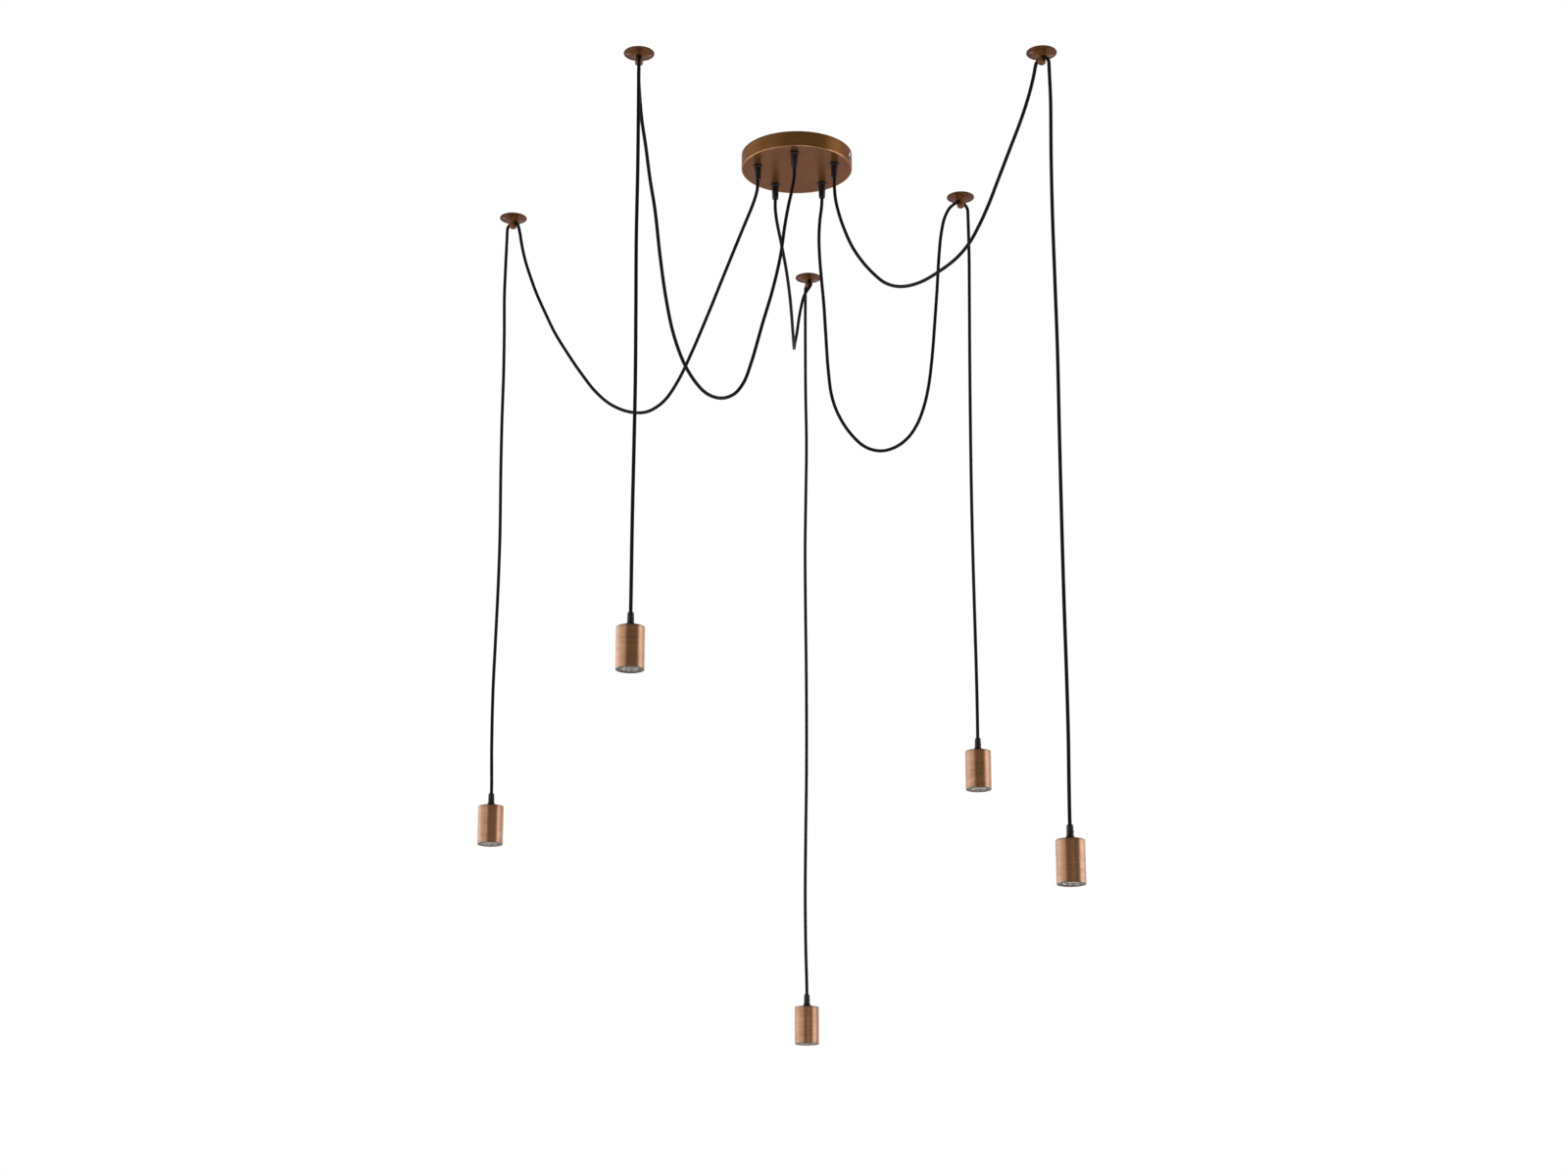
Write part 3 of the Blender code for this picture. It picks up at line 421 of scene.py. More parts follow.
def rounded(outline, steps=4, closed=False):
    # gives (radius, height, wear) points, with each corner as an arc of that many steps
    points = [(*point, 0, 0)[:4] for point in outline]
    count = len(points)
    line = []
    for index, (radius, height, size, wear) in enumerate(points):
        if not closed and index in (0, count - 1) or size <= 0:
            line.append((radius, height, wear))
            continue
        corner = Vector((radius, height))
        before = Vector(points[index - 1][:2]) - corner
        after = Vector(points[(index + 1) % count][:2]) - corner
        half = before.angle(after) / 2
        longest = min(before.length, after.length) * corners["longestRun"]
        run = min(size / tan(half), longest)
        size = run * tan(half)
        start = corner + before.normalized() * run
        end = corner + after.normalized() * run
        middle = corner + (before.normalized() + after.normalized()).normalized() * size / sin(half)
        for step in range(steps + 1):
            spoke = (start - middle).lerp(end - middle, step / steps)
            point = middle + spoke.normalized() * size
            line.append((*point, wear if 0 < step < steps else wear * corners["endWear"]))
    result = []
    for index, here in enumerate(line):
        result.append(here)
        if index == len(line) - 1 and not closed:
            break
        there = line[(index + 1) % len(line)]
        length = hypot(there[0] - here[0], there[1] - here[1])
        if length > corners["shortestFlat"]:
            share = corners["guard"] / length
            for part in (share, 1 - share):
                radius, height = (a + (b - a) * part for a, b in zip(here[:2], there[:2]))
                result.append((radius, height, 0))
    return result


def meshFrom(name, shape, sharp=smoothUpTo):
    bmesh.ops.recalc_face_normals(shape, faces=shape.faces)
    for face in shape.faces:
        face.smooth = True
    mesh = bpy.data.meshes.new(name)
    shape.to_mesh(mesh)
    shape.free()
    mesh.set_sharp_from_angle(angle=radians(sharp))
    return mesh


def turnedMesh(name, line, sides, closed=False):
    # a line of (radius, height, wear) turned round the Z axis
    shape = bmesh.new()
    worn = shape.verts.layers.float.new("wear")
    rings = []
    for radius, height, wear in line:
        ring = []
        for side in range(sides if radius else 1):
            angle = 2 * pi * side / sides
            vertex = shape.verts.new((radius * cos(angle), radius * sin(angle), height))
            vertex[worn] = wear
            ring.append(vertex)
        rings.append(ring)
    for ring, following in zip(rings, rings[1:] + ([rings[0]] if closed else [])):
        if len(ring) == 1 and len(following) == 1:
            continue
        for side in range(sides):
            step = (side + 1) % sides
            face = [ring[side % len(ring)], ring[step % len(ring)],
                    following[step % len(following)], following[side % len(following)]]
            shape.faces.new([v for i, v in enumerate(face) if v not in face[:i]])
    return meshFrom(name, shape)


def latheMesh(name, outline, steps, sides, closed=False):
    return turnedMesh(name, rounded(outline, steps, closed), sides, closed)


def turned(angle, axis="Z"):
    return Matrix.Rotation(radians(angle), 4, axis)


def around(angle, distance, height=0.0):
    return Vector((distance * cos(radians(angle)), distance * sin(radians(angle)), height))


def rodMesh(radius, top, bottom, sides):
    return turnedMesh("rod", [(0, top, 0), (radius, top, 0), (radius, bottom, 0), (0, bottom, 0)], sides)


def boxMesh(size, taper=1.0):
    # a block with its lower end narrowed to the taper
    shape = bmesh.new()
    bmesh.ops.create_cube(shape, size=1)
    for vertex in shape.verts:
        share = taper if vertex.co.z < 0 else 1
        vertex.co = (vertex.co.x * size[0] * share, vertex.co.y * size[1] * share,
                     vertex.co.z * size[2])
    return meshFrom("block", shape)


def joined(placed):
    # several meshes in one, each with the matrix that puts it in place
    shape = bmesh.new()
    for mesh, matrix in placed:
        mesh.transform(matrix)
        shape.from_mesh(mesh)
        bpy.data.meshes.remove(mesh)
    return meshFrom("joined", shape)


def carved(mesh, other, operation="DIFFERENCE"):
    # the mesh with the other one's space taken out of it, or added to it
    pair = [bpy.data.objects.new("work", mesh), bpy.data.objects.new("cutter", other)]
    for work in pair:
        bpy.context.scene.collection.objects.link(work)
    cut = pair[0].modifiers.new("cut", "BOOLEAN")
    cut.operation = operation
    cut.solver = "EXACT"
    cut.object = pair[1]
    bpy.context.view_layer.update()
    ready = pair[0].evaluated_get(bpy.context.evaluated_depsgraph_get())
    result = bpy.data.meshes.new_from_object(ready)
    for work in pair:
        bpy.data.objects.remove(work)
    name = mesh.name
    bpy.data.meshes.remove(mesh)
    bpy.data.meshes.remove(other)
    result.name = name
    result.set_sharp_from_angle(angle=radians(smoothUpTo))
    return result


def slotted(mesh, size, height):
    # a screwdriver slot across the end that lies at the height
    slot = boxMesh(size)
    slot.transform(Matrix.Translation((0, 0, height)))
    return carved(mesh, slot)


def recessed(mesh, size, matrix):
    # a cross recess: two tapered arms of that length, width and height
    arms = [boxMesh(size, recessTaper), boxMesh(size, recessTaper)]
    arms[1].transform(turned(90))
    cross = carved(*arms, "UNION")
    cross.transform(matrix)
    return carved(mesh, cross)


def threadedMesh(name, look):
    # a helical thread rolled into a tube, or a threaded rod where there is no wall
    top, bottom, pitch, depth = look["top"], look["bottom"], look["pitch"], look["depth"]
    steps = round((top - bottom) / pitch * look["perTurn"])
    shape = bmesh.new()
    worn = shape.verts.layers.float.new("wear")

    def skin(inset):
        rings = []
        for step in range(steps + 1):
            height = top + (bottom - top) * step / steps
            faded = min(1, min(step, steps - step) / look["perTurn"] * 2)  # in over half a turn
            ring = []
            for side in range(look["sides"]):
                angle = 2 * pi * side / look["sides"]
                wave = cos(2 * pi * height / pitch - angle)
                reach = look["radius"] - depth / 2 + wave * depth / 2 * faded - inset
                vertex = shape.verts.new((reach * cos(angle), reach * sin(angle), height))
                vertex[worn] = max(0, wave)
                ring.append(vertex)
            rings.append(ring)
        return rings

    def bridge(ring, following):
        for side in range(look["sides"]):
            step = (side + 1) % look["sides"]
            shape.faces.new((ring[side], ring[step], following[step], following[side]))

    outer = skin(0)
    for ring, following in zip(outer, outer[1:]):
        bridge(ring, following)
    if look["wall"]:
        inner = skin(look["wall"])
        for ring, following in zip(inner, inner[1:]):
            bridge(following, ring)
        bridge(inner[0], outer[0])
        bridge(outer[-1], inner[-1])
    else:
        shape.faces.new(outer[0])
        shape.faces.new(outer[-1])
    return meshFrom(name, shape, threadSmoothUpTo)


def addPiece(name, data, material, body, node=None, place=(0, 0, 0), turn=Matrix()):
    # a piece that rides on a body, and that stands for a node where one is named
    data.materials.clear()
    data.materials.append(material)
    piece = bpy.data.objects.new(name, data)
    piece.matrix_world = Matrix.Translation(place) @ turn
    bpy.context.scene.collection.objects.link(piece)
    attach(piece, body)
    if node:
        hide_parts(node)
    return piece


def finishNode(node, material):
    # a node of the model that keeps its own shape
    slots = frame["nodes"][node].data.materials
    slots.clear()
    slots.append(material)


# Where things are, which the model gives, with the facts that differ between the pendants.
# bend: the cord's radius over the knob; swagArch: how far round it the swag goes, in degrees;
# screwTurn: the heading of the plate's screws; gripPlace: the cord grip's place on the canopy;
# lengths: the swag's and the drop's
pendants = {
    1: {"bend": 0.013, "swagArch": 54, "screwTurn": 24, "gripPlace": 3, "lengths": (1.034, 1.104)},
    2: {"bend": 0.013, "swagArch": 72, "screwTurn": 8, "gripPlace": 4, "lengths": (1.157, 0.962)},
    3: {"bend": 0.015, "swagArch": 54, "screwTurn": 18, "gripPlace": 0, "lengths": (0.817, 1.296)},
    4: {"bend": 0.016, "swagArch": 36, "screwTurn": 105, "gripPlace": 1, "lengths": (1.090, 1.027)},
    5: {"bend": 0.013, "swagArch": 72, "screwTurn": 23, "gripPlace": 2, "lengths": (0.680, 1.419)},
}
gripRing = {"radius": 0.07098, "firstTurn": -22, "stepTurn": 72}
seatGap = 0.0003  # between two pieces that are seated on each other
cutOverrun = 0.002  # how far a cutter stands out of what it cuts

canopyLow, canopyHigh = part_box("canopy_cover")
cupLow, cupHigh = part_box("lamp_cup_1")
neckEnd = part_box("hook_plate_1")[0].z  # the foot of a hook's neck
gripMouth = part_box("canopy_grip_1")[0].z  # where a cord leaves the canopy's grip
swings = {joint["child"]: joint for joint in frame["joints"]}
for number, facts in pendants.items():
    swing = swings[f"pendant_{number}"]
    facts["bore"] = Vector(swing["pos_m"])
    facts["hook"] = Vector((*swing["pos_m"][:2], 0))
    facts["way"] = Vector(swing["axis"])  # along the bore, to the swag's side
    facts["heading"] = degrees(atan2(facts["way"].y, facts["way"].x))
    facts["plumb"] = facts["hook"] - facts["way"] * facts["bend"]
    facts["cupTop"] = facts["plumb"] + Vector((0, 0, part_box(f"lamp_cup_{number}")[1].z))
    facts["gripTurn"] = gripRing["firstTurn"] + gripRing["stepTurn"] * facts["gripPlace"]
    facts["grip"] = around(facts["gripTurn"], gripRing["radius"])


# Cords
cordLook = {
    "diameter": 0.0059,
    "holdDepth": 0.012,
    "boreLead": 0.0008,
    "archStep": 6,
    "dropArch": 72,
    "pointStep": 0.004,
    "roundness": 6,
    "dark": srgb(4, 4, 5),
    "light": srgb(9, 9, 10),
    "grainSize": 0.35,
    "patchSize": 45,
    "roughLow": 0.5,
    "roughHigh": 0.6,
    "specular": 0.22,
    "bump": 0.12,
    "bumpDepth": 0.00004,
}
swagRoutes = {
    1: (
        (-0.069, -0.017, -0.056), (-0.070, -0.016, -0.074), (-0.077, -0.012, -0.098),
        (-0.092, -0.003, -0.134), (-0.108, 0.007, -0.172), (-0.130, 0.020, -0.225),
        (-0.155, 0.036, -0.285), (-0.184, 0.054, -0.351), (-0.209, 0.070, -0.400),
        (-0.233, 0.086, -0.430), (-0.261, 0.103, -0.443), (-0.291, 0.122, -0.438),
        (-0.327, 0.144, -0.417), (-0.358, 0.165, -0.384), (-0.388, 0.184, -0.339),
        (-0.414, 0.200, -0.295), (-0.438, 0.215, -0.251), (-0.457, 0.228, -0.208),
        (-0.475, 0.239, -0.165), (-0.487, 0.246, -0.131), (-0.498, 0.253, -0.096),
        (-0.506, 0.258, -0.062), (-0.511, 0.262, -0.034), (-0.515, 0.264, -0.017),
    ),
    2: (
        (-0.005, -0.071, -0.056), (-0.0055, -0.072, -0.074), (-0.0090, -0.077, -0.098),
        (-0.0155, -0.086, -0.132), (-0.0225, -0.095, -0.176), (-0.030, -0.102, -0.234),
        (-0.043, -0.116, -0.300), (-0.061, -0.136, -0.373), (-0.079, -0.156, -0.448),
        (-0.092, -0.172, -0.491), (-0.108, -0.189, -0.518), (-0.130, -0.213, -0.534),
        (-0.153, -0.239, -0.535), (-0.172, -0.262, -0.522), (-0.189, -0.280, -0.498),
        (-0.206, -0.299, -0.455), (-0.219, -0.314, -0.395), (-0.229, -0.326, -0.325),
        (-0.237, -0.335, -0.256), (-0.246, -0.345, -0.202), (-0.253, -0.353, -0.151),
        (-0.260, -0.361, -0.106), (-0.264, -0.366, -0.065), (-0.266, -0.369, -0.035),
        (-0.266, -0.369, -0.017),
    ),
    3: (
        (0.066, -0.027, -0.056), (0.066, -0.027, -0.074), (0.068, -0.029, -0.098),
        (0.074, -0.034, -0.128), (0.083, -0.043, -0.161), (0.095, -0.057, -0.197),
        (0.110, -0.074, -0.230), (0.128, -0.093, -0.261), (0.150, -0.117, -0.291),
        (0.175, -0.145, -0.309), (0.205, -0.178, -0.315), (0.236, -0.212, -0.309),
        (0.262, -0.240, -0.298), (0.282, -0.263, -0.281), (0.298, -0.281, -0.256),
        (0.312, -0.297, -0.228), (0.326, -0.312, -0.194), (0.344, -0.332, -0.150),
        (0.362, -0.352, -0.106), (0.375, -0.366, -0.068), (0.383, -0.375, -0.037),
        (0.387, -0.379, -0.017),
    ),
    4: (
        (0.046, 0.054, -0.056), (0.045, 0.054, -0.074), (0.042, 0.053, -0.098),
        (0.040, 0.053, -0.132), (0.041, 0.054, -0.170), (0.044, 0.055, -0.212),
        (0.048, 0.057, -0.260), (0.051, 0.059, -0.314), (0.055, 0.061, -0.380),
        (0.061, 0.064, -0.428), (0.073, 0.069, -0.462), (0.094, 0.078, -0.493),
        (0.119, 0.089, -0.513), (0.146, 0.100, -0.517), (0.173, 0.112, -0.506),
        (0.196, 0.122, -0.485), (0.213, 0.130, -0.457), (0.226, 0.136, -0.421),
        (0.235, 0.140, -0.380), (0.242, 0.143, -0.325), (0.248, 0.146, -0.255),
        (0.253, 0.148, -0.190), (0.257, 0.150, -0.130), (0.262, 0.152, -0.082),
        (0.269, 0.155, -0.049), (0.279, 0.159, -0.028), (0.291, 0.165, -0.0155),
    ),
    5: (
        (-0.038, 0.06, -0.056), (-0.038, 0.061, -0.074), (-0.035, 0.068, -0.096),
        (-0.027, 0.093, -0.127), (-0.018, 0.136, -0.158), (-0.011, 0.19, -0.186),
        (-0.007, 0.24, -0.206), (-0.004, 0.29, -0.222), (-0.002, 0.335, -0.226),
        (-0.001, 0.375, -0.216), (0.001, 0.412, -0.191), (0.005, 0.445, -0.158),
        (0.009, 0.475, -0.119), (0.014, 0.502, -0.081), (0.021, 0.522, -0.047),
        (0.034, 0.5355, -0.0195),
    ),
}
dropRoutes = {
    1: (
        (0.0, -0.042), (-0.0010, -0.090), (-0.0018, -0.150), (-0.0002, -0.225), (0.0006, -0.300),
        (0.0, -0.400), (0.0006, -0.500), (0.0021, -0.610), (0.0015, -0.700), (-0.0006, -0.800),
        (-0.0027, -0.900), (-0.0022, -1.000), (-0.0004, -1.070),
    ),
    2: (
        (0.0, -0.042), (0.0004, -0.120), (0.0006, -0.220), (0.0, -0.330), (0.0010, -0.450),
        (0.0018, -0.570), (0.0012, -0.680), (0.0003, -0.790), (0.0001, -0.890), (0.0, -0.935),
    ),
    3: (
        (0.0, -0.042), (0.0008, -0.090), (-0.0008, -0.190), (-0.0012, -0.290), (-0.0002, -0.400),
        (0.0009, -0.520), (0.0004, -0.660), (0.0002, -0.800), (0.0004, -0.930), (0.0013, -1.060),
        (0.0013, -1.150), (0.0004, -1.220), (0.0, -1.270),
    ),
    4: (
        (0.0, -0.042), (0.0005, -0.110), (-0.0004, -0.200), (-0.0017, -0.310), (-0.0026, -0.420),
        (-0.0031, -0.540), (-0.0028, -0.650), (-0.0018, -0.760), (-0.0006, -0.860),
        (0.0, -0.940), (0.0, -0.998),
    ),
    5: (
        (0.0, -0.042), (-0.0003, -0.110), (0.0, -0.230), (0.0014, -0.340), (0.0, -0.440),
        (-0.0017, -0.550), (-0.0014, -0.650), (-0.0002, -0.780), (0.0002, -0.900),
        (-0.0003, -1.000), (-0.0019, -1.110), (-0.0031, -1.220), (-0.0022, -1.320),
        (-0.0005, -1.390),
    ),
}


def smoothLine(route, step, before=None, after=None):
    # close points along a smooth curve through a route; before and after steer its two ends
    points = [Vector(point) for point in route]
    ends = [before or 2 * points[0] - points[1], *points, after or 2 * points[-1] - points[-2]]
    line = []
    for a, b, c, d in zip(ends, ends[1:], ends[2:], ends[3:]):
        knots = [0]
        for p, q in ((a, b), (b, c), (c, d)):
            knots.append(knots[-1] + (q - p).length ** 0.5)
        count = max(1, round((c - b).length / step))
        for i in range(count):
            t = knots[1] + (knots[2] - knots[1]) * i / count
            ab = a.lerp(b, (t - knots[0]) / (knots[1] - knots[0]))
            bc = b.lerp(c, (t - knots[1]) / (knots[2] - knots[1]))
            cd = c.lerp(d, (t - knots[2]) / (knots[3] - knots[2]))
            abc = ab.lerp(bc, (t - knots[0]) / (knots[2] - knots[0]))
            bcd = bc.lerp(cd, (t - knots[1]) / (knots[3] - knots[1]))
            line.append(abc.lerp(bcd, (t - knots[1]) / (knots[2] - knots[1])))
    return line + [points[-1]]


def fitted(route, start, end):
    # a route moved so that it starts and ends at two given places
    first = Vector(start) - Vector(route[0])
    last = Vector(end) - Vector(route[-1])
    count = len(route) - 1
    return [Vector(point) + first.lerp(last, i / count) for i, point in enumerate(route)]


def overTheKnob(bore, outward, bend, last):
    # from the middle of the bore outward and down past the knob
    up = Vector((0, 0, 1))
    turns = [radians(a) for a in range(cordLook["archStep"], last + 1, cordLook["archStep"])]
    arch = [bore + outward * bend * sin(a) + up * bend * (cos(a) - 1) for a in turns]
    return [bore + outward * seatGap / 2, bore + outward * cordLook["boreLead"], *arch]


# Rubber-covered round lead, satin black
def cordFinish(name, look):
    material, tree, shader = newMaterial(name)
    grain = useGroup(tree, mouldedGrain, grainSize=look["grainSize"], patchSize=look["patchSize"])
    setInputs(tree, shader, {
        "Base Color": mixColours(tree, grain["patches"], look["dark"], look["light"]),
        "Roughness": mapped(tree, grain["patches"], 0, 1, look["roughLow"], look["roughHigh"]),
        "Specular IOR Level": look["specular"],
        "Normal": bumped(tree, look["bump"], look["bumpDepth"], grain["grain"]),
    })
    return material


blackCord = cordFinish("blackCord", cordLook)


def cordCurve(name, line, roundness):
    curve = bpy.data.curves.new(name, "CURVE")
    curve.dimensions = "3D"
    curve.bevel_depth = cordLook["diameter"] / 2
    curve.bevel_resolution = roundness
    curve.use_fill_caps = True
    spline = curve.splines.new("POLY")
    spline.points.add(len(line) - 1)
    for point, position in zip(spline.points, line):
        point.co = (*position, 1)
    return curve


def cordPiece(name, line, body, node):
    curve = cordCurve(name, line, cordLook["roundness"])
    piece = addPiece(name, curve, blackCord, body, node)


def makeCords(number):
    facts = pendants[number]
    mouth = facts["grip"] + Vector((0, 0, gripMouth))
    held = mouth + Vector((0, 0, cordLook["holdDepth"]))
    arch = overTheKnob(facts["bore"], facts["way"], facts["bend"], facts["swagArch"])
    route = fitted(swagRoutes[number], mouth, arch[-1])
    line = [held, *smoothLine(route, cordLook["pointStep"], held, arch[-2]), *arch[-2::-1]]
    cordPiece(f"swagCord{number}", line, "ceiling_parts", f"swag_cord_{number}")

    arch = overTheKnob(facts["bore"], -facts["way"], facts["bend"], cordLook["dropArch"])
    crown = facts["cupTop"] + Vector((0, 0, lampGripLook["height"]))
    held = crown - Vector((0, 0, cordLook["holdDepth"]))
    fall = [facts["plumb"] + Vector((aside, 0, height)) for aside, height in dropRoutes[number]]
    fall = fitted(fall, fall[0], crown + Vector((0, 0, 2 * cordLook["diameter"])))
    line = smoothLine([arch[-1], *fall, crown], cordLook["pointStep"], arch[-2], held)
    cordPiece(f"dropCord{number}", [*arch[:-1], *line, held], f"pendant_{number}",
              f"drop_cord_{number}")


# Lampholder grips, at whose crowns the drops end
lampGripLook = {
    "height": 0.0235,
    "crownRadius": 0.0043,
    "crownHeight": 0.0022,
    "neckRadius": 0.0052,
    "radius": 0.0056,
    "coneHeight": 0.0042,
    "collarRadius": 0.0076,
    "collarHeight": 0.0026,
    "stubRadius": 0.0050,
    "stubLength": 0.0080,
    "screwReach": 0.0053,
    "screwHeight": 0.0118,
    "screwTurn": -35,
}

for number in pendants:
    makeCords(number)
print("stage: cords")


# Canopy cover
canopyLook = {
    "radius": canopyHigh.x,
    "height": -canopyLow.z,
    "sheet": 0.0012,
    "edgeBevel": 0.0016,
    "land": 0.0034,
    "faceStep": 0.0004,
    "gripHole": 0.0053,
    "screwHole": 0.0023,
    "screwDrop": 0.0135,
    "screwTurns": (-21, 159),
    "holeDepth": 0.006,
    "lineWidth": 0.55,
    "streakLength": 60,
    "lineContrast": 0.8,
    "cloudSize": 34,
    "cloudContrast": 1.6,
    "cloudShare": 0.5,
    "speckSize": 1.6,
    "speckShare": 0.15,
    "darkLine": srgb(112, 74, 36),
    "lightLine": srgb(152, 106, 60),
    "cloud": srgb(104, 70, 37),
    "speck": srgb(66, 42, 22),
    # the rim's bare colour: partly rubbed copper, partly a painted highlight along the lower edge
    "bare": srgb(212, 162, 128),
    # painted shade: the colour of the darkened top edge and of the ring round each grip hole
    "grime": srgb(48, 34, 22),
    # painted shade round the grip holes: where it starts and ends, and how dark it is
    "shadeEdge": 0.006,
    "shadeReach": 0.013,
    "shade": 0.6,
    "edgeTint": srgb(150, 100, 50),
    "lacquer": 0.12,
    "lacquerRough": 0.3,
    "lacquerIndex": 1.45,
    "wear": 0.8,
    "wearPatch": 9,
    "wearGloss": 0.12,
    "roughLow": 0.28,
    "roughHigh": 0.4,
    "lineGloss": 0.08,
    "metal": 0.62,
    "bump": 0.35,
}
antiqueCopper = copperFinish("antiqueCopper", canopyLook)
canopyFace = canopyLook["faceStep"] - canopyLook["height"]
canopyFloor = canopyFace + canopyLook["sheet"]


# Painted shade: the canopy's face is darkened round each grip hole
def shadeTheHoles(material):
    tree = material.node_tree
    wanted = tree.nodes["Principled BSDF"].inputs["Base Color"]
    plain = wanted.links[0].from_socket
    shaded = useGroup(tree, holeShade, ringRadius=gripRing["radius"],
                      firstAngle=radians(gripRing["firstTurn"]),
                      stepAngle=radians(gripRing["stepTurn"]), edge=canopyLook["shadeEdge"],
                      reach=canopyLook["shadeReach"], strength=canopyLook["shade"])
    tree.links.new(mixColours(tree, shaded["shade"], plain, canopyLook["grime"]), wanted)


shadeTheHoles(antiqueCopper)


def canopyOutline(size):
    # from the middle of the face round the rim to the middle of the inside
    radius, height = size["radius"], size["height"]
    inside = radius - size["sheet"]
    land = radius - size["land"]
    return [
        # wear above zero on the lower rim is partly rubbed copper and partly a painted highlight; below
        # zero on the top edge it is painted shade
        (0, canopyFace), (land - size["faceStep"], canopyFace, 0.0003), (land, -height, 0.0002, 0.5),
        (radius, -height, size["edgeBevel"], 1), (radius, -size["sheet"]), (radius, 0, 0.0004, -1),
        (inside, 0, 0.0004), (inside, canopyFloor, 0.0006), (0, canopyFloor),
    ]


def makeCanopy():
    drum = latheMesh("canopyCover", canopyOutline(canopyLook), steps=5, sides=256)
    half = canopyLook["holeDepth"] / 2
    middle = (canopyFace + canopyFloor) / 2
    wall = canopyLook["radius"] - canopyLook["sheet"] / 2
    holes = []
    for facts in pendants.values():
        rod = rodMesh(canopyLook["gripHole"], half, -half, sides=48)
        holes.append((rod, Matrix.Translation(facts["grip"] + Vector((0, 0, middle)))))
    for turn in canopyLook["screwTurns"]:
        rod = rodMesh(canopyLook["screwHole"], half, -half, sides=32)
        spot = around(turn, wall, -canopyLook["screwDrop"])
        holes.append((rod, Matrix.Translation(spot) @ turned(turn) @ turned(90, "Y")))
    drum = carved(drum, joined(holes))
    addPiece("canopyCover", drum, antiqueCopper, "ceiling_parts", "canopy_cover")


makeCanopy()
print("stage: canopy")


# Black grips in the canopy and on the lampholders
plasticLook = {
    "dark": srgb(13, 13, 14),
    "light": srgb(21, 21, 23),
    "rubbed": srgb(44, 44, 47),
    "wear": 0.5,
    "wearPatch": 3,
    "grainSize": 0.28,
    "patchSize": 7,
    "roughLow": 0.3,
    "roughHigh": 0.42,
    "bump": 0.3,
}
clampPlasticLook = {
    **plasticLook,
    "dark": srgb(60, 60, 62),
    "light": srgb(92, 92, 96),
    "roughLow": 0.24,
    "roughHigh": 0.34,
}
blackPlastic = mouldedFinish("blackPlastic", plasticLook)
clampPlastic = mouldedFinish("clampScrewPlastic", clampPlasticLook)

canopyGripLook = {
    "tipRadius": 0.0050,
    "tipHeight": 0.0014,
    "waistRadius": 0.0056,
    "shoulderRadius": 0.0062,
    "shoulderHeight": 0.0016,
    "flangeRadius": 0.0070,
    "flangeHeight": 0.0028,
    "stubRadius": 0.0050,
    "stubTipRadius": 0.0047,
    "stubRise": 0.0050,
    "snapRadius": 0.0058,
    "snapHeight": 0.0018,
    "screwReach": 0.0059,
    "screwDrop": 0.0135,
    "screwTurn": -30,
    "screwTilt": -2,
}
clampScrewLook = {
    "radius": 0.0014,
    "rise": 0.0011,
    "depth": 0.0020,
    "bevel": 0.00025,
    "slot": (0.0036, 0.00045, 0.0014),
    "slotTurn": 35,
}
cordWay = 0.00305  # the radius of the grips' way for the cord


def clampScrew(name, body, place, turn, tilt=0):
    # a slotted screw that stands a little out of a grip's side
    size = clampScrewLook
    outline = [
        (0, size["rise"]), (size["radius"], size["rise"], size["bevel"], 1),
        (size["radius"], -size["depth"]), (0, -size["depth"]),
    ]
    head = slotted(latheMesh(name, outline, steps=3, sides=24), size["slot"], size["rise"])
    aim = turned(turn) @ turned(90 + tilt, "Y") @ turned(size["slotTurn"])
    addPiece(name, head, clampPlastic, body, None, place, aim)


def canopyGripOutline(size):
    # down the outside from the stub inside the canopy to the mouth
    seat = canopyFace - seatGap
    snap = canopyFloor + seatGap
    stubTop = canopyFloor + size["stubRise"]
    flange = seat - size["flangeHeight"]
    return [
        (cordWay, stubTop), (size["stubTipRadius"], stubTop, 0.0003),
        (size["snapRadius"], snap + size["snapHeight"], 0.0002, 0.5),
        (size["snapRadius"], snap, 0.0002), (size["stubRadius"], snap), (size["stubRadius"], seat),
        (size["flangeRadius"], seat, 0.0003, 0.6), (size["flangeRadius"], flange, 0.0007, 0.9),
        (size["shoulderRadius"], flange - size["shoulderHeight"], 0.0009),
        (size["waistRadius"], gripMouth + size["tipHeight"], 0.0006, 0.6),
        (size["tipRadius"], gripMouth, 0.0005, 0.9), (cordWay, gripMouth, 0.0003),
    ]


def makeCanopyGrip(number):
    size = canopyGripLook
    facts = pendants[number]
    grip = latheMesh("canopyGrip", canopyGripOutline(size), steps=4, sides=64, closed=True)
    addPiece(f"canopyGrip{number}", grip, blackPlastic, "ceiling_parts",
             f"canopy_grip_{number}", facts["grip"], turned(facts["gripTurn"]))
    spot = around(size["screwTurn"], size["screwReach"], canopyFace - seatGap - size["screwDrop"])
    clampScrew(f"canopyGripScrew{number}", "ceiling_parts", facts["grip"] + spot,
               size["screwTurn"], size["screwTilt"])


def lampGripOutline(size):
    # down the outside from the crown to the stub inside the cup
    cone = size["collarHeight"] + size["coneHeight"]
    return [
        (cordWay, size["height"], 0.0003), (size["crownRadius"], size["height"], 0.0008, 0.8),
        (size["neckRadius"], size["height"] - size["crownHeight"], 0.0014, 0.5),
        (size["radius"], cone, 0.0025), (size["collarRadius"], size["collarHeight"], 0.0006, 0.8),
        (size["collarRadius"], seatGap, 0.0003, 0.5), (size["stubRadius"], seatGap),
        (size["stubRadius"], -size["stubLength"], 0.0003), (cordWay, -size["stubLength"]),
    ]


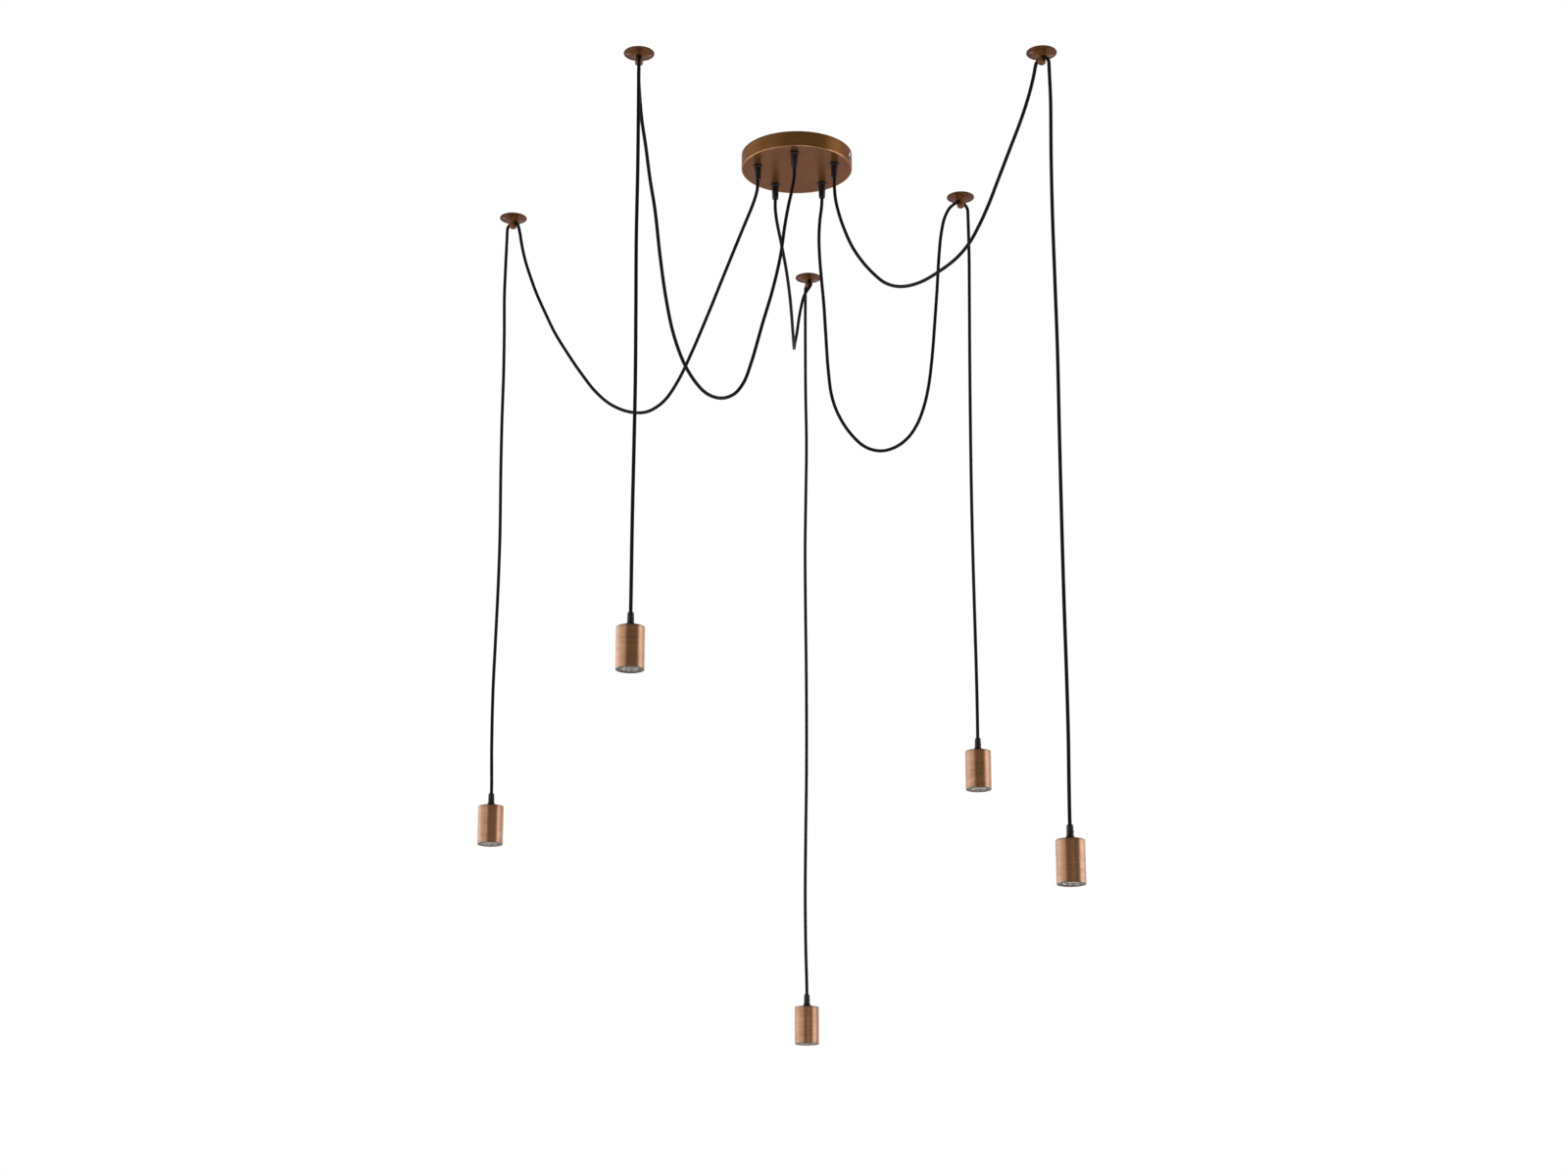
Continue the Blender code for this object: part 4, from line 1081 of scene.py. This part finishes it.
def makeLampGrip(number):
    size = lampGripLook
    place = pendants[number]["cupTop"]
    grip = latheMesh("lampGrip", lampGripOutline(size), steps=4, sides=64, closed=True)
    addPiece(f"lampGrip{number}", grip, blackPlastic, f"pendant_{number}",
             f"lamp_grip_{number}", place)
    spot = around(size["screwTurn"], size["screwReach"], size["screwHeight"])
    clampScrew(f"lampGripScrew{number}", f"pendant_{number}", place + spot, size["screwTurn"])


for number in pendants:
    makeCanopyGrip(number)
    makeLampGrip(number)
print("stage: grips")


# Ceiling hooks and their clamp knobs
hookLook = {
    "radius": 0.0250,
    "beadSide": 0.0016,
    "beadCrown": 0.0010,
    "beadHeight": 0.0023,
    "beadWidth": 0.0024,
    "edgeHeight": 0.0014,
    "domeRadius": 0.0145,
    "domeHeight": 0.0030,
    "rootRadius": 0.0092,
    "rootHeight": 0.0056,
    "throatRadius": 0.0071,
    "throatHeight": 0.0084,
    "neckRadius": 0.0063,
    "neckLength": -neckEnd,
    "longestFlat": 0.0008,
    "ringStep": 0.0006,
    "boreDrop": -pendants[1]["bore"].z,
    "boreRadius": 0.0035,
    "boreStraight": 0.0030,
    "flareRadius": 0.0066,
    "tapRadius": 0.0023,
    "screwCircle": 0.0172,
    "screwHole": 0.0021,
    "sinkRadius": 0.0040,
    "sinkDepth": 0.0019,
    "lineWidth": 0.5,
    "streakLength": 14,
    "lineContrast": 0.5,
    "cloudSize": 16,
    "cloudContrast": 1.8,
    "cloudShare": 0.6,
    "speckSize": 0.9,
    "speckShare": 0.3,
    "darkLine": srgb(100, 60, 28),
    "lightLine": srgb(134, 86, 46),
    "cloud": srgb(76, 44, 20),
    "speck": srgb(46, 27, 13),
    "bare": srgb(200, 146, 106),
    # painted shade: the colour of the darkened back edge and bead side
    "grime": srgb(44, 28, 16),
    "edgeTint": srgb(140, 92, 56),
    "lacquer": 0.2,
    "lacquerRough": 0.2,
    "lacquerIndex": 1.5,
    "wear": 0.85,
    "wearPatch": 5,
    "wearGloss": 0.1,
    "roughLow": 0.3,
    "roughHigh": 0.44,
    "lineGloss": 0.06,
    "metal": 0.6,
    "bump": 0.5,
}
castCopper = copperFinish("castCopper", hookLook)
plateScrewLook = {
    **platedLook,
    "headRadius": 0.0037,
    "headDrop": 0.0028,
    "crownRadius": 0.0026,
    "crownDrop": 0.0033,
    "tipDrop": 0.0035,
    "neckRadius": 0.0019,
    "neckDrop": 0.0012,
    "neckTop": 0.0001,
    "recess": (0.0038, 0.0008, 0.0024),
    "recessDrop": 0.0036,
    "turn": 17,
    "turnPerHook": 31,
    "turnPerScrew": 140,
    "light": srgb(190, 142, 104),
    "dull": srgb(136, 94, 62),
    "speck": srgb(80, 50, 30),
    "cloudSize": 3,
    "speckSize": 0.6,
    "roughLow": 0.12,
    "roughHigh": 0.2,
}
copperedSteel = platedFinish("copperedSteel", plateScrewLook)
knobLook = {
    "shankTop": 0.0135,
    "shankRadius": 0.0020,
    "topRadius": 0.0058,
    "shoulderHeight": 0.0010,
    "radius": 0.0068,
    "bellyHeight": 0.0022,
    "cheekRadius": 0.0060,
    "cheekHeight": 0.0039,
    "noseRadius": 0.0044,
    "height": 0.0052,
    "slot": (0.0013, 0.0160, 0.0026),
}


def hookOutline(size):
    # from the middle of the back round the bead, over the dome and down the trumpet neck
    radius, neck = size["radius"], size["neckRadius"]
    return [
        # wear below zero on the back edge and the bead's side is painted shade
        (0, 0), (radius, 0, 0.0003, -0.8), (radius, -size["beadSide"], 0.0006, -0.8),
        (radius - size["beadCrown"], -size["beadHeight"], 0.0005, 0.4),
        (radius - size["beadWidth"], -size["edgeHeight"], 0.0005),
        (size["domeRadius"], -size["domeHeight"], 0.004),
        (size["rootRadius"], -size["rootHeight"], 0.003),
        (size["throatRadius"], -size["throatHeight"], 0.002),
        (neck, -size["boreDrop"], 0.001), (neck, -size["neckLength"], 0.0004, 0.8),
        (0, -size["neckLength"]),
    ]


def closerRings(line, size):
    # more rings down the neck, so that its surface stays round where the bore cuts it
    result = []
    for here, there in zip(line, line[1:]):
        result.append(here)
        run = hypot(there[0] - here[0], there[1] - here[1])
        onNeck = here[1] < -size["rootHeight"] and there[0] > size["tapRadius"]
        if onNeck and run > size["longestFlat"]:
            count = int(run / size["ringStep"])
            for i in range(1, count):
                result.append(tuple(a + (b - a) * i / count for a, b in zip(here, there)))
    return [*result, line[-1]]


def hookBore(size):
    # the cross bore's cutter, flared to both ends
    half = size["boreStraight"]
    end = size["neckRadius"] + cutOverrun
    outline = [
        (0, -end), (size["flareRadius"], -end), (size["boreRadius"], -half, 0.0012),
        (size["boreRadius"], half, 0.0012), (size["flareRadius"], end), (0, end),
    ]
    return latheMesh("bore", outline, steps=4, sides=64)


def screwSink(size):
    # the cutter of a screw hole, with its countersink down to the dome
    hole, wide, drop = size["screwHole"], size["sinkRadius"], size["domeHeight"]
    return turnedMesh("sink", [
        (0, cutOverrun, 0), (hole, cutOverrun, 0), (hole, size["sinkDepth"] - drop, 0),
        (wide, -drop, 0), (wide, -drop - cutOverrun, 0), (0, -drop - cutOverrun, 0),
    ], sides=48)


def makeHookPlate(number):
    size = hookLook
    facts = pendants[number]
    line = closerRings(rounded(hookOutline(size), 5), size)
    plate = turnedMesh("hookPlate", line, sides=128)
    bore = hookBore(size)
    bore.transform(Matrix.Translation((0, 0, -size["boreDrop"])) @ turned(90, "Y"))
    plate = carved(plate, bore)
    tap = rodMesh(size["tapRadius"], -size["boreDrop"], -size["neckLength"] - cutOverrun, sides=32)
    cutters = [(tap, Matrix())]
    for side in (0, 180):
        spot = around(facts["screwTurn"] - facts["heading"] + side, size["screwCircle"])
        cutters.append((screwSink(size), Matrix.Translation(spot)))
    plate = carved(plate, joined(cutters))
    addPiece(f"hookPlate{number}", plate, castCopper, "ceiling_parts",
             f"hook_plate_{number}", facts["hook"], turned(facts["heading"]))


def makePlateScrew(number, side):
    size = plateScrewLook
    outline = [
        (0, -size["neckTop"]), (size["neckRadius"], -size["neckTop"]),
        (size["neckRadius"], -size["neckDrop"]),
        (size["headRadius"], -size["headDrop"], 0.0002, 0.6),
        (size["crownRadius"], -size["crownDrop"], 0.0012), (0, -size["tipDrop"]),
    ]
    head = latheMesh("plateScrew", outline, steps=4, sides=48)
    head = recessed(head, size["recess"], Matrix.Translation((0, 0, -size["recessDrop"])))
    facts = pendants[number]
    spot = facts["hook"] + around(facts["screwTurn"] + 180 * side, hookLook["screwCircle"])
    turn = size["turn"] + size["turnPerHook"] * number + size["turnPerScrew"] * side
    addPiece(f"plateScrew{number}{'ab'[side]}", head, copperedSteel, "ceiling_parts",
             None, spot, turned(turn))


def makeKnob(number):
    size = knobLook
    top = -hookLook["neckLength"] - seatGap
    nose = top - size["height"]
    outline = [
        (0, -size["shankTop"]), (size["shankRadius"], -size["shankTop"], 0.0003),
        (size["shankRadius"], top), (size["topRadius"], top, 0.0004, 0.5),
        (size["radius"], top - size["shoulderHeight"], 0.0008, 0.5),
        (size["radius"], top - size["bellyHeight"], 0.0012, 0.5),
        (size["cheekRadius"], top - size["cheekHeight"], 0.0016, 0.7),
        (size["noseRadius"], nose, 0.0008, 0.8), (0, nose, 0, 0.5),
    ]
    knob = slotted(latheMesh("clampKnob", outline, steps=5, sides=96), size["slot"], nose)
    facts = pendants[number]
    addPiece(f"clampKnob{number}", knob, castCopper, f"knob_{number}",
             f"clamp_knob_{number}", facts["hook"], turned(facts["heading"]))


for number in pendants:
    makeHookPlate(number)
    for side in (0, 1):
        makePlateScrew(number, side)
    makeKnob(number)
print("stage: hooks and knobs")


# Lampholders
cupLook = {
    "radius": (cupHigh.x - cupLow.x) / 2,
    "height": cupHigh.z - cupLow.z,
    "wall": 0.0012,
    "topThickness": 0.0015,
    "topEdge": 0.0014,
    "rimEdge": 0.0006,
    "stemHole": 0.0053,
    # painted shade: how far the darkened bands reach below the top edge and above the rim
    "shadeDepths": (0.0026, 0.0036),
    "rimShadeHeights": (0.0020, 0.0010),
    "lineWidth": 0.9,
    "streakLength": 45,
    "lineContrast": 0.9,
    "cloudSize": 14,
    "cloudContrast": 2.2,
    "cloudShare": 0.5,
    "speckSize": 1.3,
    "speckShare": 0.05,
    "darkLine": srgb(150, 98, 54),
    "lightLine": srgb(216, 168, 122),
    "cloud": srgb(158, 92, 44),
    "speck": srgb(104, 62, 36),
    "bare": srgb(238, 196, 160),
    # painted shade: the colour of the darkened top edge and rim
    "grime": srgb(34, 23, 15),
    "edgeTint": srgb(255, 250, 245),
    "lacquer": 1.0,
    "lacquerRough": 0.24,
    "lacquerIndex": 1.9,
    "wear": 0.35,
    "wearPatch": 6,
    "wearGloss": 0.06,
    "roughLow": 0.32,
    "roughHigh": 0.42,
    "lineGloss": 0.05,
    "metal": 0.97,
    "bump": 0.15,
}
brushedCopper = copperFinish("brushedCopper", cupLook)
insertLook = {
    "neckRadius": 0.0092,
    "neckLength": 0.0105,
    "barrelRadius": 0.0168,
    "shoulderHeight": 0.0060,
    "rimInset": 0.0008,
    "rimHeight": 0.0032,
    "rimGap": 0.0004,
    "taperHeight": 0.0025,
    "cavityRadius": 0.0145,
    "floorDrop": 0.0420,
    "wireRadius": 0.0030,
    "stubRoom": 0.0020,
    "dark": srgb(30, 28, 27),
    "light": srgb(44, 41, 39),
    "rubbed": srgb(88, 84, 80),
    "wear": 0.5,
    "wearPatch": 3,
    "grainSize": 0.2,
    "patchSize": 8,
    "roughLow": 0.28,
    "roughHigh": 0.4,
    "bump": 0.2,
}
blackBakelite = mouldedFinish("blackBakelite", insertLook)
nickelLook = {
    **platedLook,
    "metal": 0.85,
    "light": srgb(236, 234, 228),
    "dull": srgb(204, 200, 192),
    "speck": srgb(130, 124, 114),
    "cloudSize": 5,
    "speckSize": 0.7,
    "roughLow": 0.18,
    "roughHigh": 0.32,
}
nickelPlate = platedFinish("nickelPlate", nickelLook)
brassLook = {
    **nickelLook,
    "light": srgb(226, 190, 112),
    "dull": srgb(186, 148, 78),
    "speck": srgb(126, 92, 46),
}
brass = platedFinish("brass", brassLook)
shellLook = {
    "radius": 0.01405,
    "depth": 0.0010,
    "pitch": 0.0036,
    "top": -0.0430,
    "bottom": -0.0668,
    "wall": 0.0004,
    "sides": 96,
    "perTurn": 14,
    "floorInside": 0.0088,
    "floorOutside": 0.0135,
    "floorThickness": 0.0006,
}


def cupOutline(size):
    # down the outside from the stem's hole to the rim, and back up the inside
    radius, rim, top = size["radius"], -size["height"], -size["topThickness"]
    inside = radius - size["wall"]
    dark, clean = size["shadeDepths"]
    rimClean, rimDark = size["rimShadeHeights"]
    return [
        # wear below zero darkens the top edge, the rim and the rim's inside as painted shade
        (size["stemHole"], 0, 0.0002, 0.3), (radius, 0, size["topEdge"], -1), (radius, -dark, 0, -0.9),
        (radius, -clean), (radius, rim + rimClean), (radius, rim + rimDark, 0, -0.7),
        (radius, rim, size["rimEdge"], -1), (inside, rim, 0.0003, -0.6), (inside, top, 0.001),
        (size["stemHole"], top),
    ]


def insertOutline(size):
    # down the outside from the stem's hole to the rim, and back up through the lamp's cavity
    top = -cupLook["topThickness"] - seatGap
    neck = top - size["neckLength"]
    rim = size["rimInset"] - cupLook["height"]
    skirt = rim + size["rimHeight"]
    outside = cupLook["radius"] - cupLook["wall"] - size["rimGap"]
    floor = -size["floorDrop"]
    stub = -lampGripLook["stubLength"] - size["stubRoom"]
    return [
        (cupLook["stemHole"], top), (size["neckRadius"], top, 0.0004), (size["neckRadius"], neck, 0.002),
        (size["barrelRadius"], neck - size["shoulderHeight"], 0.002),
        (size["barrelRadius"], skirt + size["taperHeight"], 0.001), (outside, skirt, 0.0004),
        (outside, rim, 0.0004, 0.6), (size["cavityRadius"], rim, 0.0005, 0.8),
        (size["cavityRadius"], floor, 0.0006), (size["wireRadius"], floor, 0.0003),
        (size["wireRadius"], stub), (cupLook["stemHole"], stub),
    ]


def shellFloorOutline(size):
    inside, outside, bottom = size["floorInside"], size["floorOutside"], size["top"]
    top = bottom + size["floorThickness"]
    return [
        (inside, top), (outside, top, 0.0003), (outside, bottom, 0.0002), (inside, bottom, 0.0002, 0.6),
    ]


def makeLampholder(number):
    body = f"pendant_{number}"
    place = pendants[number]["cupTop"]
    cup = latheMesh("lampCup", cupOutline(cupLook), steps=5, sides=160, closed=True)
    addPiece(f"lampCup{number}", cup, brushedCopper, body, f"lamp_cup_{number}", place)
    insert = latheMesh("lampInsert", insertOutline(insertLook), steps=4, sides=96, closed=True)
    addPiece(f"lampInsert{number}", insert, blackBakelite, body,
             f"lamp_insert_{number}", place)
    shell = threadedMesh("screwShell", shellLook)
    addPiece(f"screwShell{number}", shell, nickelPlate, body, f"screw_shell_{number}", place)
    floor = latheMesh("shellFloor", shellFloorOutline(shellLook), steps=3, sides=96, closed=True)
    addPiece(f"shellFloor{number}", floor, nickelPlate, body, None, place)
    finishNode(f"lamp_contact_{number}", brass)


for number in pendants:
    makeLampholder(number)
print("stage: lampholders")


# Inside the canopy: the bracket and the block keep the model's own shapes
zincLook = {
    **nickelLook,
    "light": srgb(198, 200, 202),
    "dull": srgb(158, 160, 163),
    "speck": srgb(116, 118, 122),
    "roughLow": 0.3,
    "roughHigh": 0.45,
}
ivoryLook = {
    **plasticLook,
    "dark": srgb(222, 214, 192),
    "light": srgb(232, 226, 206),
    "rubbed": srgb(240, 236, 220),
}
finishNode("ceiling_bracket", platedFinish("zincPlate", zincLook))
finishNode("terminal_block", mouldedFinish("ivoryPlastic", ivoryLook))

# The cords' tails run from the splice cap up over the bracket to the grips: reach and height
tailLook = {
    "capRadius": 0.0058,
    "capTop": 0.0131,
    "capHeight": 0.0085,
    "pointStep": 0.0015,
    "roundness": 5,
    "route": (
        (0.0029, -0.0185), (0.0116, -0.0185), (0.0355, -0.01415), (0.0532, -0.0098),
        (0.0655, -0.01255), (0.0710, -0.0211), (0.0710, -0.0276), (0.0710, -0.0441),
    ),
}
terminalScrewLook = {
    "radius": 0.0017,
    "top": 0.0090,
    "drop": 0.0108,
    "reach": 0.010,
    "slot": (0.0040, 0.0005, 0.0014),
    "turn": 40,
    "turnPerScrew": 65,
}
sideScrewLook = {
    "radius": 0.0020,
    "depth": 0.0004,
    "pitch": 0.0007,
    "top": 0,
    "bottom": -0.010,
    "wall": 0,
    "sides": 32,
    "perTurn": 8,
    "headRadius": 0.0040,
    "edgeHeight": 0.0011,
    "crownRadius": 0.0028,
    "crownHeight": 0.0021,
    "headHeight": 0.0024,
    "recess": (0.0044, 0.0009, 0.0026),
    "recessHeight": 0.0026,
    "turn": 30,
}


def makeTails():
    size = tailLook
    bottom = -size["capTop"] - size["capHeight"]
    outline = [
        (0, -size["capTop"]), (size["capRadius"], -size["capTop"], 0.0012, 0.4),
        (size["capRadius"], bottom, 0.0008, 0.4), (0, bottom),
    ]
    cap = latheMesh("spliceCap", outline, steps=4, sides=48)
    addPiece("spliceCap", cap, blackPlastic, "ceiling_parts", "cord_tails")
    for number, facts in pendants.items():
        route = [around(facts["gripTurn"], reach, height) for reach, height in size["route"]]
        curve = cordCurve("tail", smoothLine(route, size["pointStep"]), size["roundness"])
        addPiece(f"cordTail{number}", curve, blackCord, "ceiling_parts")


def makeTerminalScrews():
    size = terminalScrewLook
    for index, reach in enumerate((-size["reach"], size["reach"])):
        outline = [
            (0, -size["drop"]), (size["radius"], -size["drop"], 0.0003, 0.6),
            (size["radius"], -size["top"]), (0, -size["top"]),
        ]
        head = latheMesh("terminalScrew", outline, steps=3, sides=32)
        head = slotted(head, size["slot"], -size["drop"])
        addPiece(f"terminalScrew{index + 1}", head, brass, "ceiling_parts", None,
                 around(canopyLook["screwTurns"][0], reach),
                 turned(size["turn"] + size["turnPerScrew"] * index))


def makeSideScrew(number, turn):
    size = sideScrewLook
    outline = [
        (0, 0), (size["headRadius"], 0, 0.0002), (size["headRadius"], size["edgeHeight"], 0.0007, 0.8),
        (size["crownRadius"], size["crownHeight"], 0.0016, 0.4), (0, size["headHeight"]),
    ]
    head = latheMesh("sideScrewHead", outline, steps=4, sides=64)
    facing = Matrix.Translation((0, 0, size["recessHeight"])) @ turned(180, "X")
    head = recessed(head, size["recess"], facing)
    aim = turned(turn) @ turned(90, "Y") @ turned(size["turn"])
    spot = around(turn, canopyLook["radius"] + seatGap, -canopyLook["screwDrop"])
    addPiece(f"sideScrewHead{number}", head, nickelPlate, "ceiling_parts",
             f"side_screw_{number}", spot, aim)
    shank = threadedMesh("sideScrewShank", size)
    addPiece(f"sideScrewShank{number}", shank, nickelPlate, "ceiling_parts", None, spot, aim)


makeTails()
makeTerminalScrews()
for index, turn in enumerate(canopyLook["screwTurns"]):
    makeSideScrew(index + 1, turn)
print("stage: inside the canopy")


# Light, background and floor. A soft box's turn is counted from the camera's side, leftwards
studio = {
    "boxes": {
        "leftBox": {"turn": 97, "distance": 3.2, "height": -0.6, "size": (3.4, 4.2), "level": 0.8},
        "leftFill": {"turn": 52, "distance": 3.2, "height": -0.6, "size": (2.0, 4.2), "level": 0.72},
        "rightBox": {"turn": -84, "distance": 3.2, "height": -0.6, "size": (2.3, 4.2), "level": 1.35},
        "frontBox": {"turn": -15, "distance": 4.5, "height": -2.3, "size": (2.2, 1.6), "level": 1.9,
                     "aimHeight": -0.3},
    },
    "aimHeight": -0.7,
    "ambient": 0.55,
    "farLevel": 0.85,
    "nearLevel": 0.15,
    "nearColour": srgb(255, 228, 200),
    "nearUpTo": -0.3,
    "farFrom": 0.65,
    "overheadLevel": 0.2,
    "wallUpTo": 0.45,
    "overheadFrom": 0.9,
    "backdrop": 1.0,
    "floorHeight": -2.35,
    "floorColour": srgb(236, 235, 232),
    "floorRoughness": 0.7,
    "floorReach": 2.8,
    "floorFade": (1.3, 2.7),
}


def softBox(name, turn, distance, height, size, level, aimHeight=studio["aimHeight"]):
    data = bpy.data.lights.new(name, "AREA")
    data.shape = "RECTANGLE"
    data.size, data.size_y = size
    data.energy = level * pi * size[0] * size[1]
    lamp = bpy.data.objects.new(name, data)
    lamp.location = (-distance * sin(radians(turn)), -distance * cos(radians(turn)), height)
    aim = Vector((0, 0, aimHeight)) - lamp.location
    lamp.rotation_euler = aim.to_track_quat("-Z", "Y").to_euler()
    lamp.visible_camera = False
    bpy.context.scene.collection.objects.link(lamp)


def makeWorld():
    # plain white to the camera; what metal mirrors is paler behind the object than before it
    world = bpy.data.worlds.new("studio")
    bpy.context.scene.world = world
    world.use_nodes = True
    tree = world.node_tree
    tree.nodes.clear()
    rays = addNode(tree, "LightPath").outputs
    place = addNode(tree, "TexCoord").outputs["Generated"]
    heading = addNode(tree, "SeparateXYZ", {0: place}).outputs
    behind = mapped(tree, heading["Y"], studio["nearUpTo"], studio["farFrom"])
    overhead = mapped(tree, heading["Z"], studio["wallUpTo"], studio["overheadFrom"], 1,
                      studio["overheadLevel"])
    mirrored = mapped(tree, behind, 0, 1, studio["nearLevel"], studio["farLevel"])
    mirrored = sums(tree, "MULTIPLY", mirrored, overhead)
    shiny = sums(tree, "MAXIMUM", rays["Is Glossy Ray"], rays["Is Transmission Ray"])
    level = mixNumbers(tree, shiny, studio["ambient"], mirrored)
    level = mixNumbers(tree, rays["Is Camera Ray"], level, studio["backdrop"])
    near = sums(tree, "MULTIPLY", shiny, sums(tree, "SUBTRACT", 1, behind))
    colour = mixColours(tree, near, (1, 1, 1, 1), studio["nearColour"])
    sky = addNode(tree, "Background", {"Color": colour, "Strength": level})
    addNode(tree, "OutputWorld", {"Surface": sky.outputs[0]})


def makeFloor():
    # fades out to its edge, and is clear from below
    reach = studio["floorReach"]
    mesh = bpy.data.meshes.new("floor")
    mesh.from_pydata([(-reach, -reach, 0), (reach, -reach, 0), (reach, reach, 0), (-reach, reach, 0)],
                     [], [(0, 1, 2, 3)])
    material, tree, shader = newMaterial("paleFloor")
    shader.inputs["Base Color"].default_value = studio["floorColour"]
    shader.inputs["Roughness"].default_value = studio["floorRoughness"]
    clear = addNode(tree, "BsdfTransparent")
    edge = mapped(tree, lengthOf(tree, addNode(tree, "TexCoord").outputs["Object"]), *studio["floorFade"])
    gone = sums(tree, "MAXIMUM", edge, addNode(tree, "NewGeometry").outputs["Backfacing"])
    both = addNode(tree, "MixShader", {0: gone, 1: shader.outputs[0], 2: clear.outputs[0]})
    setInputs(tree, tree.nodes["Material Output"], {"Surface": both.outputs[0]})
    mesh.materials.append(material)
    floor = bpy.data.objects.new("floor", mesh)
    floor.location = (0, 0, studio["floorHeight"])
    bpy.context.scene.collection.objects.link(floor)


for name, box in studio["boxes"].items():
    softBox(name, **box)
makeWorld()
makeFloor()
bpy.context.scene.view_settings.view_transform = "Standard"
print("stage: light and floor")
